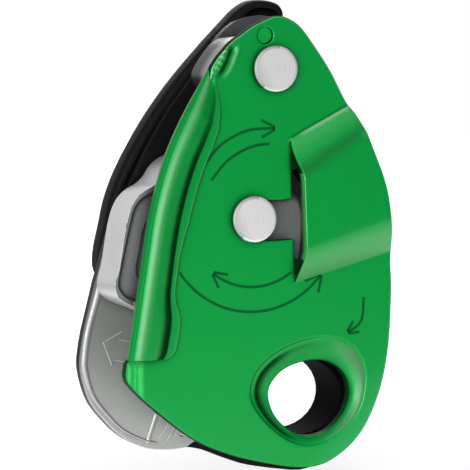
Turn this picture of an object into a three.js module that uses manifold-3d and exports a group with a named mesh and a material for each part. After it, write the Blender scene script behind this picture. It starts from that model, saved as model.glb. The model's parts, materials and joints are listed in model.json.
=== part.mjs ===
// Assisted braking belay device: a rope cam between two side plates, with a lever handle behind them.
// Millimetres. X points right, Y runs from the opening side plate back to the handle, Z points up.
// The origin is the centre of the attachment hole, midway between the two side plates.

import * as THREE from "three";
import { mergeVertices } from "three/addons/utils/BufferGeometryUtils.js";
import Module from "manifold-3d";

const wasm = await Module();
wasm.setup();

// Overall sizes
const plateWidth = 63;
const plateHeight = 100;
const ropeSpace = 14;
const movingSheet = 2.5;
const fixedSheet = 2.5;
const frictionSheet = 1.6;

// Clearances
const slideGap = 0.3;
const seatGap = 0.3;
const overrun = 0.5;

// Places of the two turning axes and of the selector, as shares of the plate
const axleShare = [-0.211, 0.4];
const pivotShare = [-0.132, 0.731];
const selectorShare = [0.087, 0.56];

// Opening side plate: outline from the top clockwise, then the hemmed left edge upwards
const movingRightShares = [
  [-0.1, 0.847], [-0.044, 0.832], [0.006, 0.796], [0.078, 0.731], [0.14, 0.66], [0.197, 0.605],
  [0.262, 0.53], [0.303, 0.444], [0.316, 0.376], [0.314, 0.3], [0.317, 0.234], [0.306, 0.11],
  [0.27, 0.006], [0.198, -0.084], [0.086, -0.141], [-0.021, -0.155], [-0.163, -0.142],
  [-0.306, -0.118], [-0.435, -0.081], [-0.567, -0.018], [-0.665, 0.033], [-0.683, 0.056],
];
const movingLeftShares = [
  [-0.673, 0.1], [-0.654, 0.176], [-0.621, 0.311], [-0.597, 0.405], [-0.565, 0.486],
  [-0.522, 0.563], [-0.457, 0.644], [-0.378, 0.72], [-0.292, 0.789], [-0.211, 0.825],
];

// Fixed side plate: right side down to the bottom, the rounded lower left, then the left edge upwards
const fixedRightShares = [
  [-0.076, 0.854], [-0.008, 0.842], [0.041, 0.804], [0.094, 0.745], [0.156, 0.668], [0.213, 0.61],
  [0.278, 0.535], [0.319, 0.446], [0.332, 0.376], [0.333, 0.234], [0.322, 0.11], [0.29, -0.01],
  [0.238, -0.095], [0.175, -0.152], [0.135, -0.172], [0.079, -0.182], [0.01, -0.179],
  [-0.087, -0.17], [-0.154, -0.161], [-0.233, -0.143], [-0.303, -0.126],
];
const lowerLeftShares = [
  [-0.37, -0.119], [-0.43, -0.122], [-0.51, -0.118], [-0.562, -0.105], [-0.614, -0.085],
  [-0.66, -0.058], [-0.716, -0.015], [-0.741, 0.023], [-0.756, 0.064], [-0.756, 0.091],
  [-0.741, 0.149], [-0.717, 0.21], [-0.697, 0.26], [-0.673, 0.31], [-0.644, 0.373],
];
const fixedLeftShares = [
  [-0.611, 0.426], [-0.57, 0.474], [-0.51, 0.55], [-0.416, 0.646], [-0.33, 0.716],
  [-0.262, 0.78], [-0.229, 0.808], [-0.173, 0.838],
];

// Friction plate: it shares the rounded lower left, this is its inner edge
const frictionInnerShares = [
  [-0.587, 0.393], [-0.516, 0.43], [-0.468, 0.5], [-0.381, 0.575], [-0.222, 0.615], [-0.08, 0.575],
  [-0.02, 0.5], [0.08, 0.465], [0.2, 0.44], [0.246, 0.36], [0.206, 0.25], [0.063, 0.19],
  [-0.111, 0.173], [-0.232, 0.09], [-0.267, -0.02], [-0.31, -0.095],
];
const frictionRibShares = [[-0.37, 0.005], [-0.403, -0.092]];
const frictionBandShares = [[-0.325, -0.015], [-0.349, -0.055], [-0.362, -0.092]];
const ribHeight = 0.5;
const ribWidth = 1.2;
const bandWidth = 1.8;

// Rivets
const headRadius = 5.1;
const headThickness = 1.4;
const headDome = 0.35;
const headLift = 0.5;
const neckRadius = 4;
const tailRadius = 5;
const tailThickness = 1;
const washerThickness = 0.4;
const wearRivetShares = [[-0.33, 0.155], [0.12, 0.3], [-0.2, 0.575]];
const wearRivetRadius = 1.6;
const wearRivetHead = 2.8;
const countersink = 0.8;

// Hem on the left edge of the opening side plate
const hemRadius = 2.85;
const hemTab = 3.1;
const hemTabThickness = 0.8;
const hemStartShare = 0.09;
const hemEndShare = 0.712;
const hemSides = 12;

// Bridge over the slot of the axle head
const bridgeRise = 4.7;
const bridgeRamp = 7.2;
const bridgeLeftShares = [[-0.071, 0.578], [-0.052, 0.257]];
const bridgeRightShares = [[0.36, 0.722], [0.36, 0.332]];
const bridgeDraw = 2;
const slotSweep = 20;

// Stop stud pressed out of the opening side plate, and the slot that it runs in
const studShare = [-0.165, 0.804];
const studRadius = 1.75;
const studReach = 1.5;
const studRecess = 1.2;
const openAngle = 100;

// Attachment hole
const eyeWidth = 19.4;
const eyeHeight = 17;
const eyeFlange = 4;
const eyeDish = 2.3;
const collarWall = 2.2;

// Friction block
const blockHead = 8;
const blockShares = [
  [-0.235, 0.801], [-0.27, 0.785], [-0.303, 0.76], [-0.333, 0.729], [-0.338, 0.713], [-0.325, 0.694],
  [-0.28, 0.664], [-0.2, 0.643], [-0.11, 0.638],
];
const blockHeadAngles = [-60, 105];
const blockDowelShares = [[-0.275, 0.725], [-0.22, 0.675]];
const dowelRadius = 1.5;

// Cam
const camHub = 14.5;
const camCheek = 1.2;
const grooveDepth = 4.6;
const camHubAngles = [280, 445];
const camTailShares = [
  [-0.381, 0.551], [-0.465, 0.536], [-0.508, 0.515], [-0.532, 0.492], [-0.559, 0.476],
  [-0.594, 0.464], [-0.625, 0.446], [-0.644, 0.425], [-0.659, 0.395], [-0.67, 0.36],
  [-0.687, 0.295], [-0.7, 0.264], [-0.7, 0.246], [-0.686, 0.228], [-0.651, 0.215], [-0.603, 0.203],
];
const camLowerShares = [[-0.524, 0.186], [-0.413, 0.184], [-0.3, 0.212]];
const camRecess = 0.8;
const camBoss = 5.6;
const axleFlange = 5.6;
const axleFlangeThickness = 0.6;
const camRecessShares = [
  [-0.5, 0.503], [-0.53, 0.481], [-0.56, 0.463], [-0.608, 0.442], [-0.632, 0.419], [-0.642, 0.398],
  [-0.655, 0.361], [-0.686, 0.268], [-0.681, 0.248], [-0.659, 0.232], [-0.62, 0.222],
  [-0.52, 0.204], [-0.42, 0.207], [-0.36, 0.29], [-0.345, 0.4], [-0.36, 0.49], [-0.43, 0.518],
];
const camPocket = 3.4;
const camPocketShares = [
  [-0.573, 0.404], [-0.594, 0.382], [-0.608, 0.336], [-0.622, 0.292], [-0.616, 0.275],
  [-0.59, 0.262], [-0.5, 0.262], [-0.44, 0.3], [-0.43, 0.37], [-0.47, 0.42], [-0.53, 0.426],
];
const camSpringWell = 8.8;
const camSpringDepth = 3.6;
const lockAngle = 28;

// Drive pin from the cam through the fixed side plate
const driveRadius = 11;
const drivePinRadius = 1.6;
const driveSlack = 0.6;
const drivePinAngle = 200;
const drivePinReach = 3;
const drivePinSeat = 6;

// Bushes
const bushWall = 0.7;
const bushFit = 0.1;

// Handle
const handleDepth = 7.5;
const handleWall = 1.8;
const handleSkin = 2.2;
const handleEdge = 1.2;
const handleRound = 2.2;
const hubRise = 2.4;
const handleHubAngles = [250, 415];
const handleOuterShares = [
  [0.037, 0.844], [0.038, 0.862], [0.019, 0.88], [-0.019, 0.888], [-0.083, 0.888], [-0.129, 0.872],
  [-0.19, 0.835], [-0.286, 0.771], [-0.392, 0.694], [-0.49, 0.608], [-0.583, 0.504],
  [-0.624, 0.437], [-0.641, 0.389], [-0.665, 0.315], [-0.66, 0.276], [-0.619, 0.248],
  [-0.52, 0.232],
];
const handleInnerShares = [
  [-0.071, 0.57], [-0.068, 0.66], [-0.068, 0.75], [-0.048, 0.805], [0, 0.832],
];
const handleRibShares = [
  [[-0.5, 0.66], [-0.03, 0.6]],
  [[-0.44, 0.74], [-0.03, 0.68]],
  [[-0.32, 0.82], [-0.03, 0.76]],
];
const handleRibWidth = 1.6;
const handleRibDrop = 1.5;
const spacerThickness = 0.5;

// Hub cover, its screws and the handle's spring
const coverRim = 0.6;
const coverThickness = 1.6;
const hubWall = 3;
const hubWell = 4.6;
const hubWeb = 2;
const hubBoss = 7.6;
const screwAngles = [90, 210, 330];
const screwPost = 1.9;
const screwRadius = 0.9;
const screwHead = 1.6;
const screwHeadDepth = 0.9;
const springWire = 1;
const springRadius = 6.6;
const springPitch = 1.5;
const handleSpringTurns = 1;
const camSpringTurns = 1.5;
const springLeg = 1;
const anchorRadius = 0.6;
const anchorReach = 2.4;
const springAngle = 40;

// Panic catch, which stands beside the handle's hub
const catchAngle = 173.7;
const catchClearance = 0.6;
const catchLength = 8;
const catchWidth = 3.4;
const catchThickness = 2.6;
const catchPinRadius = 1.1;
const catchWire = 0.6;
const catchPitch = 1.1;
const catchSpringRadius = 2.1;

// Selector
const knobRadius = 6.6;
const knobDepth = 5.5;
const knobGrip = 3.2;
const knobGripHeight = 2;
const knobGripAngle = 45;
const selectorShaft = 1.9;
const selectorFlange = 4.2;
const selectorFlangeThickness = 0.9;
const ballRadius = 1;
const ballCircle = 3.5;
const ballSpringWire = 0.3;
const ballSpringPitch = 1;
const ballSpringTurns = 2;
const ballSpringLeg = 0.3;

// Smoothness
const mergeDistance = 1e-4;
const insetShare = 0.94;
const outlineSteps = 3;
const roundSteps = 32;
const smallSteps = 12;

// Levels along Y, from the front to the back
const gapFront = -ropeSpace / 2;
const gapBack = ropeSpace / 2;
const plateFront = gapFront - movingSheet;
const fixedFront = gapBack + frictionSheet;
const fixedBack = fixedFront + fixedSheet;
const camFront = gapFront + slideGap;
const camBack = gapBack - slideGap;
const handleFront = fixedBack + spacerThickness;
const handleBack = handleFront + handleDepth;
const hubBack = handleBack + hubRise;
const wellFloor = hubBack - hubWell;
const boreRadius = neckRadius + bushFit + bushWall + bushFit;

// The hub grows outwards from the spring: screw posts, cover and wall
const screwCircle = springRadius + springLeg + seatGap + screwPost;
const coverRadius = screwCircle + screwHead + coverRim;
const handleHub = coverRadius + hubWall;

const at = ([xShare, zShare]) => new THREE.Vector2(xShare * plateWidth, zShare * plateHeight);
const axle = at(axleShare);
const pivot = at(pivotShare);
const selector = at(selectorShare);
const stud = at(studShare);
const degrees = (angle) => THREE.MathUtils.degToRad(angle);

// Point at a distance and a direction from a centre, with 0 degrees to the right and 90 up
function polar(centre, radius, angle) {
  const direction = new THREE.Vector2(Math.cos(degrees(angle)), Math.sin(degrees(angle)));
  return direction.multiplyScalar(radius).add(centre);
}

function arc(centre, radius, from, to, steps) {
  const angles = Array.from({ length: steps + 1 }, (_, i) => from + ((to - from) * i) / steps);
  return angles.map((angle) => polar(centre, radius, angle));
}

const circle = (centre, radius, steps = smallSteps) => arc(centre, radius, 0, 360, steps).slice(1);

// Smooth curve through points, open or closed, as a list of points
function smooth(points, closed = false, steps = outlineSteps) {
  const knots = points.map((p) => new THREE.Vector3(p.x, p.y, 0));
  const curve = new THREE.CatmullRomCurve3(knots, closed, "centripetal");
  const count = (closed ? points.length : points.length - 1) * steps;
  const list = curve.getPoints(count).map((p) => new THREE.Vector2(p.x, p.y));
  return closed ? list.slice(1) : list;
}

// Closed outline moved inwards by a distance, without the points that would cross at tight corners
function inset(points, distance) {
  const turn = Math.sign(THREE.ShapeUtils.area(points));
  const moved = points.map((point, i) => {
    const before = points[(i + points.length - 1) % points.length];
    const after = points[(i + 1) % points.length];
    const along = after.clone().sub(before).normalize();
    return new THREE.Vector2(-along.y, along.x).multiplyScalar(turn * distance).add(point);
  });
  const edgeDistance = (place, from, to) => {
    const along = to.clone().sub(from);
    const share = place.clone().sub(from).dot(along) / along.lengthSq();
    return from.clone().addScaledVector(along, Math.min(Math.max(share, 0), 1)).distanceTo(place);
  };
  const nearest = (place) => Math.min(...points.map((point, i) => (
    edgeDistance(place, point, points[(i + 1) % points.length])
  )));
  return moved.filter((place) => nearest(place) > insetShare * distance);
}

// Merged, closed geometry with its faces pointing out
function closed(geometry) {
  const bare = new THREE.BufferGeometry();
  bare.setAttribute("position", geometry.getAttribute("position").clone());
  if (geometry.index) bare.setIndex(geometry.index.clone());
  const merged = mergeVertices(bare, mergeDistance);
  const index = merged.index.array;
  const place = merged.getAttribute("position");
  const [a, b, c] = [0, 1, 2].map(() => new THREE.Vector3());
  const kept = [];
  let volume = 0;
  for (let i = 0; i < index.length; i += 3) {
    const corners = [index[i], index[i + 1], index[i + 2]];
    if (new Set(corners).size < 3) continue;
    kept.push(...corners);
    a.fromBufferAttribute(place, corners[0]);
    b.fromBufferAttribute(place, corners[1]);
    c.fromBufferAttribute(place, corners[2]);
    volume += a.dot(b.cross(c));
  }
  merged.setIndex(volume < 0 ? kept.reverse() : kept);
  return merged;
}

function solid(geometry) {
  const merged = closed(geometry);
  const vertProperties = new Float32Array(merged.getAttribute("position").array);
  const triVerts = new Uint32Array(merged.index.array);
  return new wasm.Manifold(new wasm.Mesh({ numProp: 3, vertProperties, triVerts }));
}

function geometryOf(manifold) {
  const mesh = manifold.getMesh();
  const geometry = new THREE.BufferGeometry();
  geometry.setAttribute("position", new THREE.BufferAttribute(new Float32Array(mesh.vertProperties), 3));
  geometry.setIndex(new THREE.BufferAttribute(new Uint32Array(mesh.triVerts), 1));
  return closed(geometry);
}

const join = (first, ...rest) => rest.reduce((sum, next) => sum.add(next), first);
const cut = (first, ...rest) => rest.reduce((sum, next) => sum.subtract(next), first);

// Flat piece with an outline in X and Z, from one level of Y to another, with edges broken if asked
function slab(outline, front, back, edge = 0, edgeSteps = 1, edgeDepth = edge) {
  const options = { depth: back - front - 2 * edgeDepth, bevelEnabled: edge > 0, bevelSize: edge };
  Object.assign(options, { bevelThickness: edgeDepth, bevelOffset: -edge, bevelSegments: edgeSteps });
  const geometry = new THREE.ExtrudeGeometry(new THREE.Shape(outline), options);
  return solid(geometry.rotateX(Math.PI / 2).translate(0, back - edgeDepth, 0));
}

// Turned piece about an axis along Y, from a profile of radius and level that starts and ends on it
function turned(centre, profile, steps = roundSteps) {
  const points = profile.map(([radius, level]) => new THREE.Vector2(radius, level));
  return solid(new THREE.LatheGeometry(points, steps).translate(centre.x, 0, centre.y));
}

const rod = (centre, radius, front, back, steps = smallSteps) =>
  turned(centre, [[0, front], [radius, front], [radius, back], [0, back]], steps);

const ring = (centre, inner, outer, front, back, steps = roundSteps) =>
  turned(centre, [[inner, front], [outer, front], [outer, back], [inner, back], [inner, front]], steps);

// Bar between two points of the X and Z plane
function bar(from, to, width, front, back) {
  const side = to.clone().sub(from).normalize().rotateAround(new THREE.Vector2(), Math.PI / 2);
  side.multiplyScalar(width / 2);
  const corners = [
    from.clone().add(side), from.clone().sub(side), to.clone().sub(side), to.clone().add(side),
  ];
  return slab(corners, front, back);
}

// Triangles that cap a ring, in the ring's own order, found as seen along the axis that it faces most
function capFaces(ring) {
  const facing = new THREE.Vector3();
  ring.forEach((p, i) => facing.add(p.clone().cross(ring[(i + 1) % ring.length])));
  const [x, y, z] = facing.toArray().map(Math.abs);
  const seen = ring.map((p) => {
    if (x >= y && x >= z) return new THREE.Vector2(p.y, p.z);
    return y >= z ? new THREE.Vector2(p.z, p.x) : new THREE.Vector2(p.x, p.y);
  });
  const faces = THREE.ShapeUtils.triangulateShape(seen, []);
  return THREE.ShapeUtils.area(seen) > 0 ? faces : faces.map(([a, b, c]) => [a, c, b]);
}

// Closed body through rings of points that all have the same count
function loft(rings) {
  const count = rings[0].length;
  const positions = rings.flat().flatMap((p) => [p.x, p.y, p.z]);
  const index = [];
  for (let r = 0; r + 1 < rings.length; r += 1) {
    for (let i = 0; i < count; i += 1) {
      const next = (i + 1) % count;
      const [low, high] = [r * count, (r + 1) * count];
      index.push(low + i, low + next, high + next, low + i, high + next, high + i);
    }
  }
  const last = (rings.length - 1) * count;
  capFaces(rings[0]).forEach(([a, b, c]) => index.push(a, c, b));
  capFaces(rings.at(-1)).forEach(([a, b, c]) => index.push(last + a, last + b, last + c));
  const geometry = new THREE.BufferGeometry();
  geometry.setAttribute("position", new THREE.Float32BufferAttribute(positions, 3));
  geometry.setIndex(index);
  return solid(geometry);
}

// Wound spring about an axis along Y, with a straight leg at each end
function spring(centre, radius, wire, pitch, turns, level, firstAngle, leg) {
  const stepsPerTurn = 8;
  const sides = 5;
  const points = [];
  const steps = turns * stepsPerTurn;
  for (let i = 0; i <= steps; i += 1) {
    const place = polar(centre, radius, firstAngle + (360 * i) / stepsPerTurn);
    points.push(new THREE.Vector3(place.x, level + (pitch * i) / stepsPerTurn, place.y));
  }
  const outwards = (point) => {
    const ray = new THREE.Vector3(point.x - centre.x, 0, point.z - centre.y).normalize();
    return point.clone().add(ray.multiplyScalar(leg));
  };
  points.unshift(outwards(points[0]));
  points.push(outwards(points[points.length - 1]));
  const rings = points.map((point, i) => {
    const before = points[Math.max(i - 1, 0)];
    const after = points[Math.min(i + 1, points.length - 1)];
    const along = after.clone().sub(before).normalize();
    const up = new THREE.Vector3(0, 1, 0).addScaledVector(along, -along.y).normalize();
    const across = new THREE.Vector3().crossVectors(along, up);
    return Array.from({ length: sides }, (_, side) => {
      const angle = (2 * Math.PI * side) / sides;
      const offset = up.clone().multiplyScalar(Math.cos(angle)).addScaledVector(across, Math.sin(angle));
      return point.clone().addScaledVector(offset, wire / 2);
    });
  });
  return { body: loft(rings), gap: pitch - wire };
}

const metal = { roughness: 0.35, metalness: 1 };
const colours = {
  green: { color: 0x0aa046, roughness: 0.3, metalness: 0.9 },
  black: { color: 0x17171a, roughness: 0.45, metalness: 0.4 },
  steel: { color: 0xb4b4b6, ...metal },
  bright: { color: 0xd6d6d8, ...metal },
  nylon: { color: 0x222224, roughness: 0.55, metalness: 0 },
  bronze: { color: 0xa8824a, roughness: 0.4, metalness: 1 },
};

const group = new THREE.Group();
function add(name, manifold, colour) {
  const mesh = new THREE.Mesh(geometryOf(manifold), new THREE.MeshStandardMaterial(colours[colour]));
  mesh.name = name;
  group.add(mesh);
}

// Attachment hole: an oval revolve, scaled in Z, with a flat facet at its lowest and highest place
function eye(profile) {
  const points = profile.map(([radius, level]) => new THREE.Vector2(radius, level));
  const oval = new THREE.LatheGeometry(points, roundSteps, Math.PI / roundSteps);
  return solid(oval.scale(1, 1, eyeHeight / eyeWidth));
}

const eyeRadius = eyeWidth / 2;
const eyeOuter = eyeRadius + eyeFlange;

// Dished sheet round the hole of the opening side plate
function eyeDished() {
  const dishSteps = 5;
  const front = [];
  for (let i = 0; i <= dishSteps; i += 1) {
    const share = i / dishSteps;
    const depth = eyeDish * (0.5 - 0.5 * Math.cos(Math.PI * share));
    front.push([eyeOuter - eyeFlange * share, plateFront + depth]);
  }
  const back = front.map(([radius, level]) => [radius, level + movingSheet]).reverse();
  const tongue = [[eyeOuter + seatGap, gapFront - seatGap], [eyeOuter + seatGap, plateFront + seatGap]];
  return eye([...front, ...back, ...tongue, front[0]]);
}

function movingOutline() {
  return [...smooth(movingRightShares.map(at)), ...smooth(movingLeftShares.map(at))];
}

// Points of a run moved sideways: each section point is a distance inwards and a level
function follow(run, section) {
  const rings = run.map((point, i) => {
    const before = run[Math.max(i - 1, 0)];
    const after = run[Math.min(i + 1, run.length - 1)];
    const along = after.clone().sub(before).normalize();
    const inwards = new THREE.Vector2(along.y, -along.x);
    return section.map(([across, level]) => {
      const place = point.clone().addScaledVector(inwards, across);
      return new THREE.Vector3(place.x, level, place.y);
    });
  });
  return loft(rings);
}

const hemRun = smooth(movingLeftShares.map(at)).filter((point) => {
  const share = point.y / plateHeight;
  return share > hemStartShare && share < hemEndShare;
});
const hemLevel = gapFront - hemRadius;

// Round bead of the hem, and the tab that lies folded on the plate
function hem() {
  const round = Array.from({ length: hemSides }, (_, i) => {
    const angle = (2 * Math.PI * i) / hemSides;
    return [hemRadius + hemRadius * Math.cos(angle), hemLevel + hemRadius * Math.sin(angle)];
  });
  const tabFront = plateFront - hemTabThickness;
  const tabEnd = 2 * hemRadius + hemTab;
  const tabBack = plateFront + overrun;
  const flat = [[hemRadius, tabBack], [tabEnd, tabBack], [tabEnd, tabFront], [hemRadius, tabFront]];
  return join(follow(hemRun, round), follow(hemRun, flat));
}

// Strip of the flat sheet that the hem takes the place of
function hemStrip() {
  const [front, back] = [plateFront - overrun, gapFront + overrun];
  const run = hemRun.slice(1, -1);
  return follow(run, [[-overrun, back], [hemRadius, back], [hemRadius, front], [-overrun, front]]);
}

// Raised strip between two fold lines, drawn forward over two ramps
function bridge(outline) {
  const rampSteps = 5;
  const shares = Array.from({ length: rampSteps + 1 }, (_, i) => i / rampSteps);
  const rise = (share) => bridgeRise * (0.5 - 0.5 * Math.cos(Math.PI * share));
  const [upperLeft, lowerLeft] = bridgeLeftShares.map(at);
  const [upperRight, lowerRight] = bridgeRightShares.map(at);
  const stations = 4;
  const rings = Array.from({ length: stations + 1 }, (_, station) => {
    const share = station / stations;
    const upper = upperLeft.clone().lerp(upperRight, share);
    const lower = lowerLeft.clone().lerp(lowerRight, share);
    const down = lower.clone().sub(upper).normalize();
    const line = [{ place: upper.clone().addScaledVector(down, -overrun), height: 0, tuck: seatGap }];
    shares.forEach((s) => {
      line.push({ place: upper.clone().addScaledVector(down, s * bridgeRamp), height: rise(s) });
    });
    [...shares].reverse().forEach((s) => {
      line.push({ place: lower.clone().addScaledVector(down, -s * bridgeRamp), height: rise(s) });
    });
    line.push({ place: lower.clone().addScaledVector(down, overrun), height: 0, tuck: seatGap });
    const drawn = ({ place, height }) => place.x + (bridgeDraw * (1 - share) * height) / bridgeRise;
    const face = (level, side) => line.map((p) => {
      const y = level - p.height + side * (p.tuck ?? 0);
      return new THREE.Vector3(drawn(p), y, p.place.y);
    });
    return [...face(plateFront, 1), ...face(gapFront, -1).reverse()];
  });
  return loft(rings).intersect(slab(outline, plateFront - bridgeRise - overrun, gapFront));
}

// Area between the fold lines, cut out of the flat sheet
function bridgeWindow() {
  const [upperLeft, lowerLeft] = bridgeLeftShares.map(at);
  const [upperRight, lowerRight] = bridgeRightShares.map(at);
  const lap = new THREE.Vector2(0, seatGap);
  const corners = [upperLeft.sub(lap), upperRight.sub(lap), lowerRight.add(lap), lowerLeft.add(lap)];
  return slab(corners, plateFront - overrun, gapFront + overrun);
}

const swingRadius = axle.distanceTo(pivot);
const angleOf = (from, to) => THREE.MathUtils.radToDeg(Math.atan2(to.y - from.y, to.x - from.x));

// Slot along an arc about a centre, with round ends
function arcSlot(centre, radius, halfWidth, from, to, front, back) {
  const outer = arc(centre, radius + halfWidth, from, to, smallSteps);
  const inner = arc(centre, radius - halfWidth, from, to, smallSteps).reverse();
  const ends = [from, to].map((angle) => rod(polar(centre, radius, angle), halfWidth, front, back));
  return join(slab([...outer, ...inner], front, back), ...ends);
}

const bushInner = neckRadius + bushFit;
const bushOuter = bushInner + bushWall;
const through = [plateFront - overrun, gapFront + overrun];

function movingPlate() {
  const outline = movingOutline();
  const axleAngle = angleOf(pivot, axle);
  const slotWidth = neckRadius + slideGap;
  const flat = cut(
    slab(outline, plateFront, gapFront),
    bridgeWindow(),
    arcSlot(pivot, swingRadius, slotWidth, axleAngle, axleAngle + slotSweep, ...through),
    eye([[0, through[0]], [eyeOuter, through[0]], [eyeOuter, through[1]], [0, through[1]]]),
    rod(pivot, boreRadius, ...through, roundSteps),
    rod(stud, studRadius, plateFront - overrun, plateFront + studRecess),
    hemStrip(),
  );
  const studPin = rod(stud, studRadius, gapFront - overrun, gapFront + studReach);
  return join(flat, bridge(outline), eyeDished(), studPin, hem());
}

// Turned rivet: domed head, plain neck and a flared tail that ends flush at the back
function rivet(centre, back) {
  const headBack = plateFront - headLift;
  const headFront = headBack - headThickness;
  const edge = headDome;
  return turned(centre, [
    [0, headFront], [headRadius - 2 * edge, headFront], [headRadius, headFront + edge],
    [headRadius, headBack], [neckRadius, headBack], [neckRadius, back - tailThickness],
    [tailRadius, back], [0, back],
  ]);
}

const rivetHole = (centre, front, back) => turned(centre, [
  [0, front - overrun], [neckRadius + seatGap, front - overrun],
  [neckRadius + seatGap, back - tailThickness - seatGap],
  [tailRadius + seatGap, back], [tailRadius + seatGap, back + overrun], [0, back + overrun],
]);

const fixedShares = [...fixedRightShares, ...lowerLeftShares, ...fixedLeftShares];
const fixedOutline = () => smooth(fixedShares.map(at), true, 2);

const frictionOutline = () => [
  ...smooth(lowerLeftShares.map(at)),
  ...smooth(frictionInnerShares.map(at)),
];

const collarOuter = eyeRadius + collarWall;
const collarNeck = eyeRadius + collarWall / 2;
const collarFront = gapFront + eyeDish + slideGap;

// Black collar that lines the attachment hole between the plates and passes into the fixed plate
const eyeCollar = () => eye([
  [eyeRadius, collarFront], [collarOuter, collarFront], [collarOuter, fixedFront],
  [collarNeck, fixedFront], [collarNeck, fixedBack], [eyeRadius, fixedBack], [eyeRadius, collarFront],
]);

const driveWindow = (front, back) => arcSlot(
  axle, driveRadius, drivePinRadius + driveSlack,
  drivePinAngle - lockAngle, drivePinAngle, front - overrun, back + overrun,
);

const wearRivets = wearRivetShares.map(at);

// Flush rivet: conical head in the friction plate, plain shank, flush tail; its hole is wider and longer
const wearRivetProfile = (gap, ends) => [
  [0, gapBack - ends], [wearRivetHead + gap, gapBack - ends], [wearRivetHead + gap, gapBack],
  [wearRivetRadius + gap, gapBack + countersink], [wearRivetRadius + gap, fixedBack + ends],
  [0, fixedBack + ends],
];
const wearRivetBody = (place) => turned(place, wearRivetProfile(0, 0), smallSteps);
const wearRivetHole = (place) => turned(place, wearRivetProfile(seatGap, overrun), smallSteps);

// Pin that the leg of the cam's spring leans on
const anchorApart = springWire / 2 + seatGap + anchorRadius;
const anchorTurn = THREE.MathUtils.radToDeg(Math.asin(anchorApart / springRadius));
const anchor = polar(axle, springRadius + anchorApart, springAngle - anchorTurn);

function fixedPlate() {
  const span = [fixedFront - overrun, fixedBack + overrun];
  const flange = selectorFlange + seatGap;
  const hole = collarNeck + seatGap;
  return cut(
    slab(fixedOutline(), fixedFront, fixedBack),
    eye([[0, span[0]], [hole, span[0]], [hole, span[1]], [0, span[1]]]),
    rod(axle, neckRadius + seatGap, ...span, roundSteps),
    rivetHole(pivot, fixedFront, fixedBack),
    driveWindow(fixedFront, fixedBack),
    rod(selector, selectorShaft + seatGap, ...span),
    rod(selector, flange, span[0], fixedFront + selectorFlangeThickness + seatGap, roundSteps),
    rod(anchor, anchorRadius + seatGap, ...span),
    ...wearRivets.map(wearRivetHole),
    ...blockDowelShares.map((share) => rod(at(share), dowelRadius + seatGap, ...span)),
  );
}

function frictionPlate() {
  const span = [gapBack - overrun, fixedFront + overrun];
  const plate = slab(frictionOutline(), gapBack, fixedFront);
  const raised = [gapBack - ribHeight, gapBack + overrun];
  const rib = bar(...frictionRibShares.map(at), ribWidth, ...raised);
  const bandLine = frictionBandShares.map(at);
  const band = join(
    ...bandLine.slice(1).map((end, i) => bar(bandLine[i], end, bandWidth, ...raised)),
    rod(bandLine[1], bandWidth / 2, ...raised),
  );
  return cut(
    join(plate, rib, band),
    rod(axle, neckRadius + seatGap, ...span, roundSteps),
    driveWindow(gapBack, fixedFront),
    rod(anchor, anchorRadius + seatGap, ...span),
    ...wearRivets.map(wearRivetHole),
  );
}

const blockDowels = blockDowelShares.map(at);
const dowelFront = fixedFront - 2 * dowelRadius;

function block() {
  const head = arc(pivot, blockHead, ...blockHeadAngles, roundSteps / 2);
  const outline = [...head, ...smooth(blockShares.map(at))];
  const studAngle = angleOf(pivot, stud);
  const slotFloor = gapFront + studReach + slideGap;
  const slotWidth = studRadius + slideGap;
  return cut(
    slab(outline, camFront, fixedFront),
    rod(pivot, neckRadius + seatGap, camFront - overrun, fixedFront + overrun, roundSteps),
    arcSlot(
      pivot, stud.distanceTo(pivot), slotWidth,
      studAngle - openAngle, studAngle, camFront - overrun, slotFloor,
    ),
    ...blockDowels.map((place) => (
      rod(place, dowelRadius + seatGap, dowelFront - seatGap, fixedFront + overrun)
    )),
  );
}

// Cam outline: tail, lower side, round hub and flat top; the groove leaves a smaller core
const camTail = smooth(camTailShares.map(at));
const camLower = smooth([camTailShares.at(-1), ...camLowerShares].map(at)).slice(1);

function camCheekOutline() {
  return [...camTail, ...camLower, ...arc(axle, camHub, ...camHubAngles, roundSteps)];
}

// Point moved straight away from the axle, or towards it where the distance is negative
const away = (point, distance) => (
  point.clone().add(point.clone().sub(axle).normalize().multiplyScalar(distance))
);

// What the groove leaves between the cheeks; at the tail it reaches past the outline
function camCoreOutline() {
  const tail = camTail.map((point) => away(point, grooveDepth));
  const lower = camLower.map((point) => away(point, -grooveDepth));
  const hub = arc(axle, camHub - grooveDepth, ...camHubAngles, roundSteps);
  return [...tail, ...lower, ...hub, away(camTail[0], -grooveDepth)];
}

function cam() {
  const cheek = camCheekOutline();
  const band = [camFront + camCheek, camBack - camCheek];
  const groove = cut(
    slab(cheek.map((point) => away(point, 2 * grooveDepth)), ...band),
    slab(camCoreOutline(), band[0] - overrun, band[1] + overrun),
  );
  const front = camFront - overrun;
  const bore = rod(axle, boreRadius, front, camBack + overrun, roundSteps);
  const recess = slab(smooth(camRecessShares.map(at), true), front, camFront + camRecess);
  const pocket = slab(smooth(camPocketShares.map(at), true), front, camFront + camPocket);
  const flangeWell = rod(axle, axleFlange + slideGap, front, camFront + camCheek, roundSteps);
  const well = ring(axle, camBoss, camSpringWell, camBack - camSpringDepth, camBack + overrun);
  return cut(
    slab(cheek, camFront, camBack),
    groove, bore, recess, pocket, flangeWell, well,
    rod(drivePinPlace, drivePinRadius + bushFit, camBack - drivePinSeat, camBack + overrun),
  );
}

const drivePinPlace = polar(axle, driveRadius, drivePinAngle);

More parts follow.
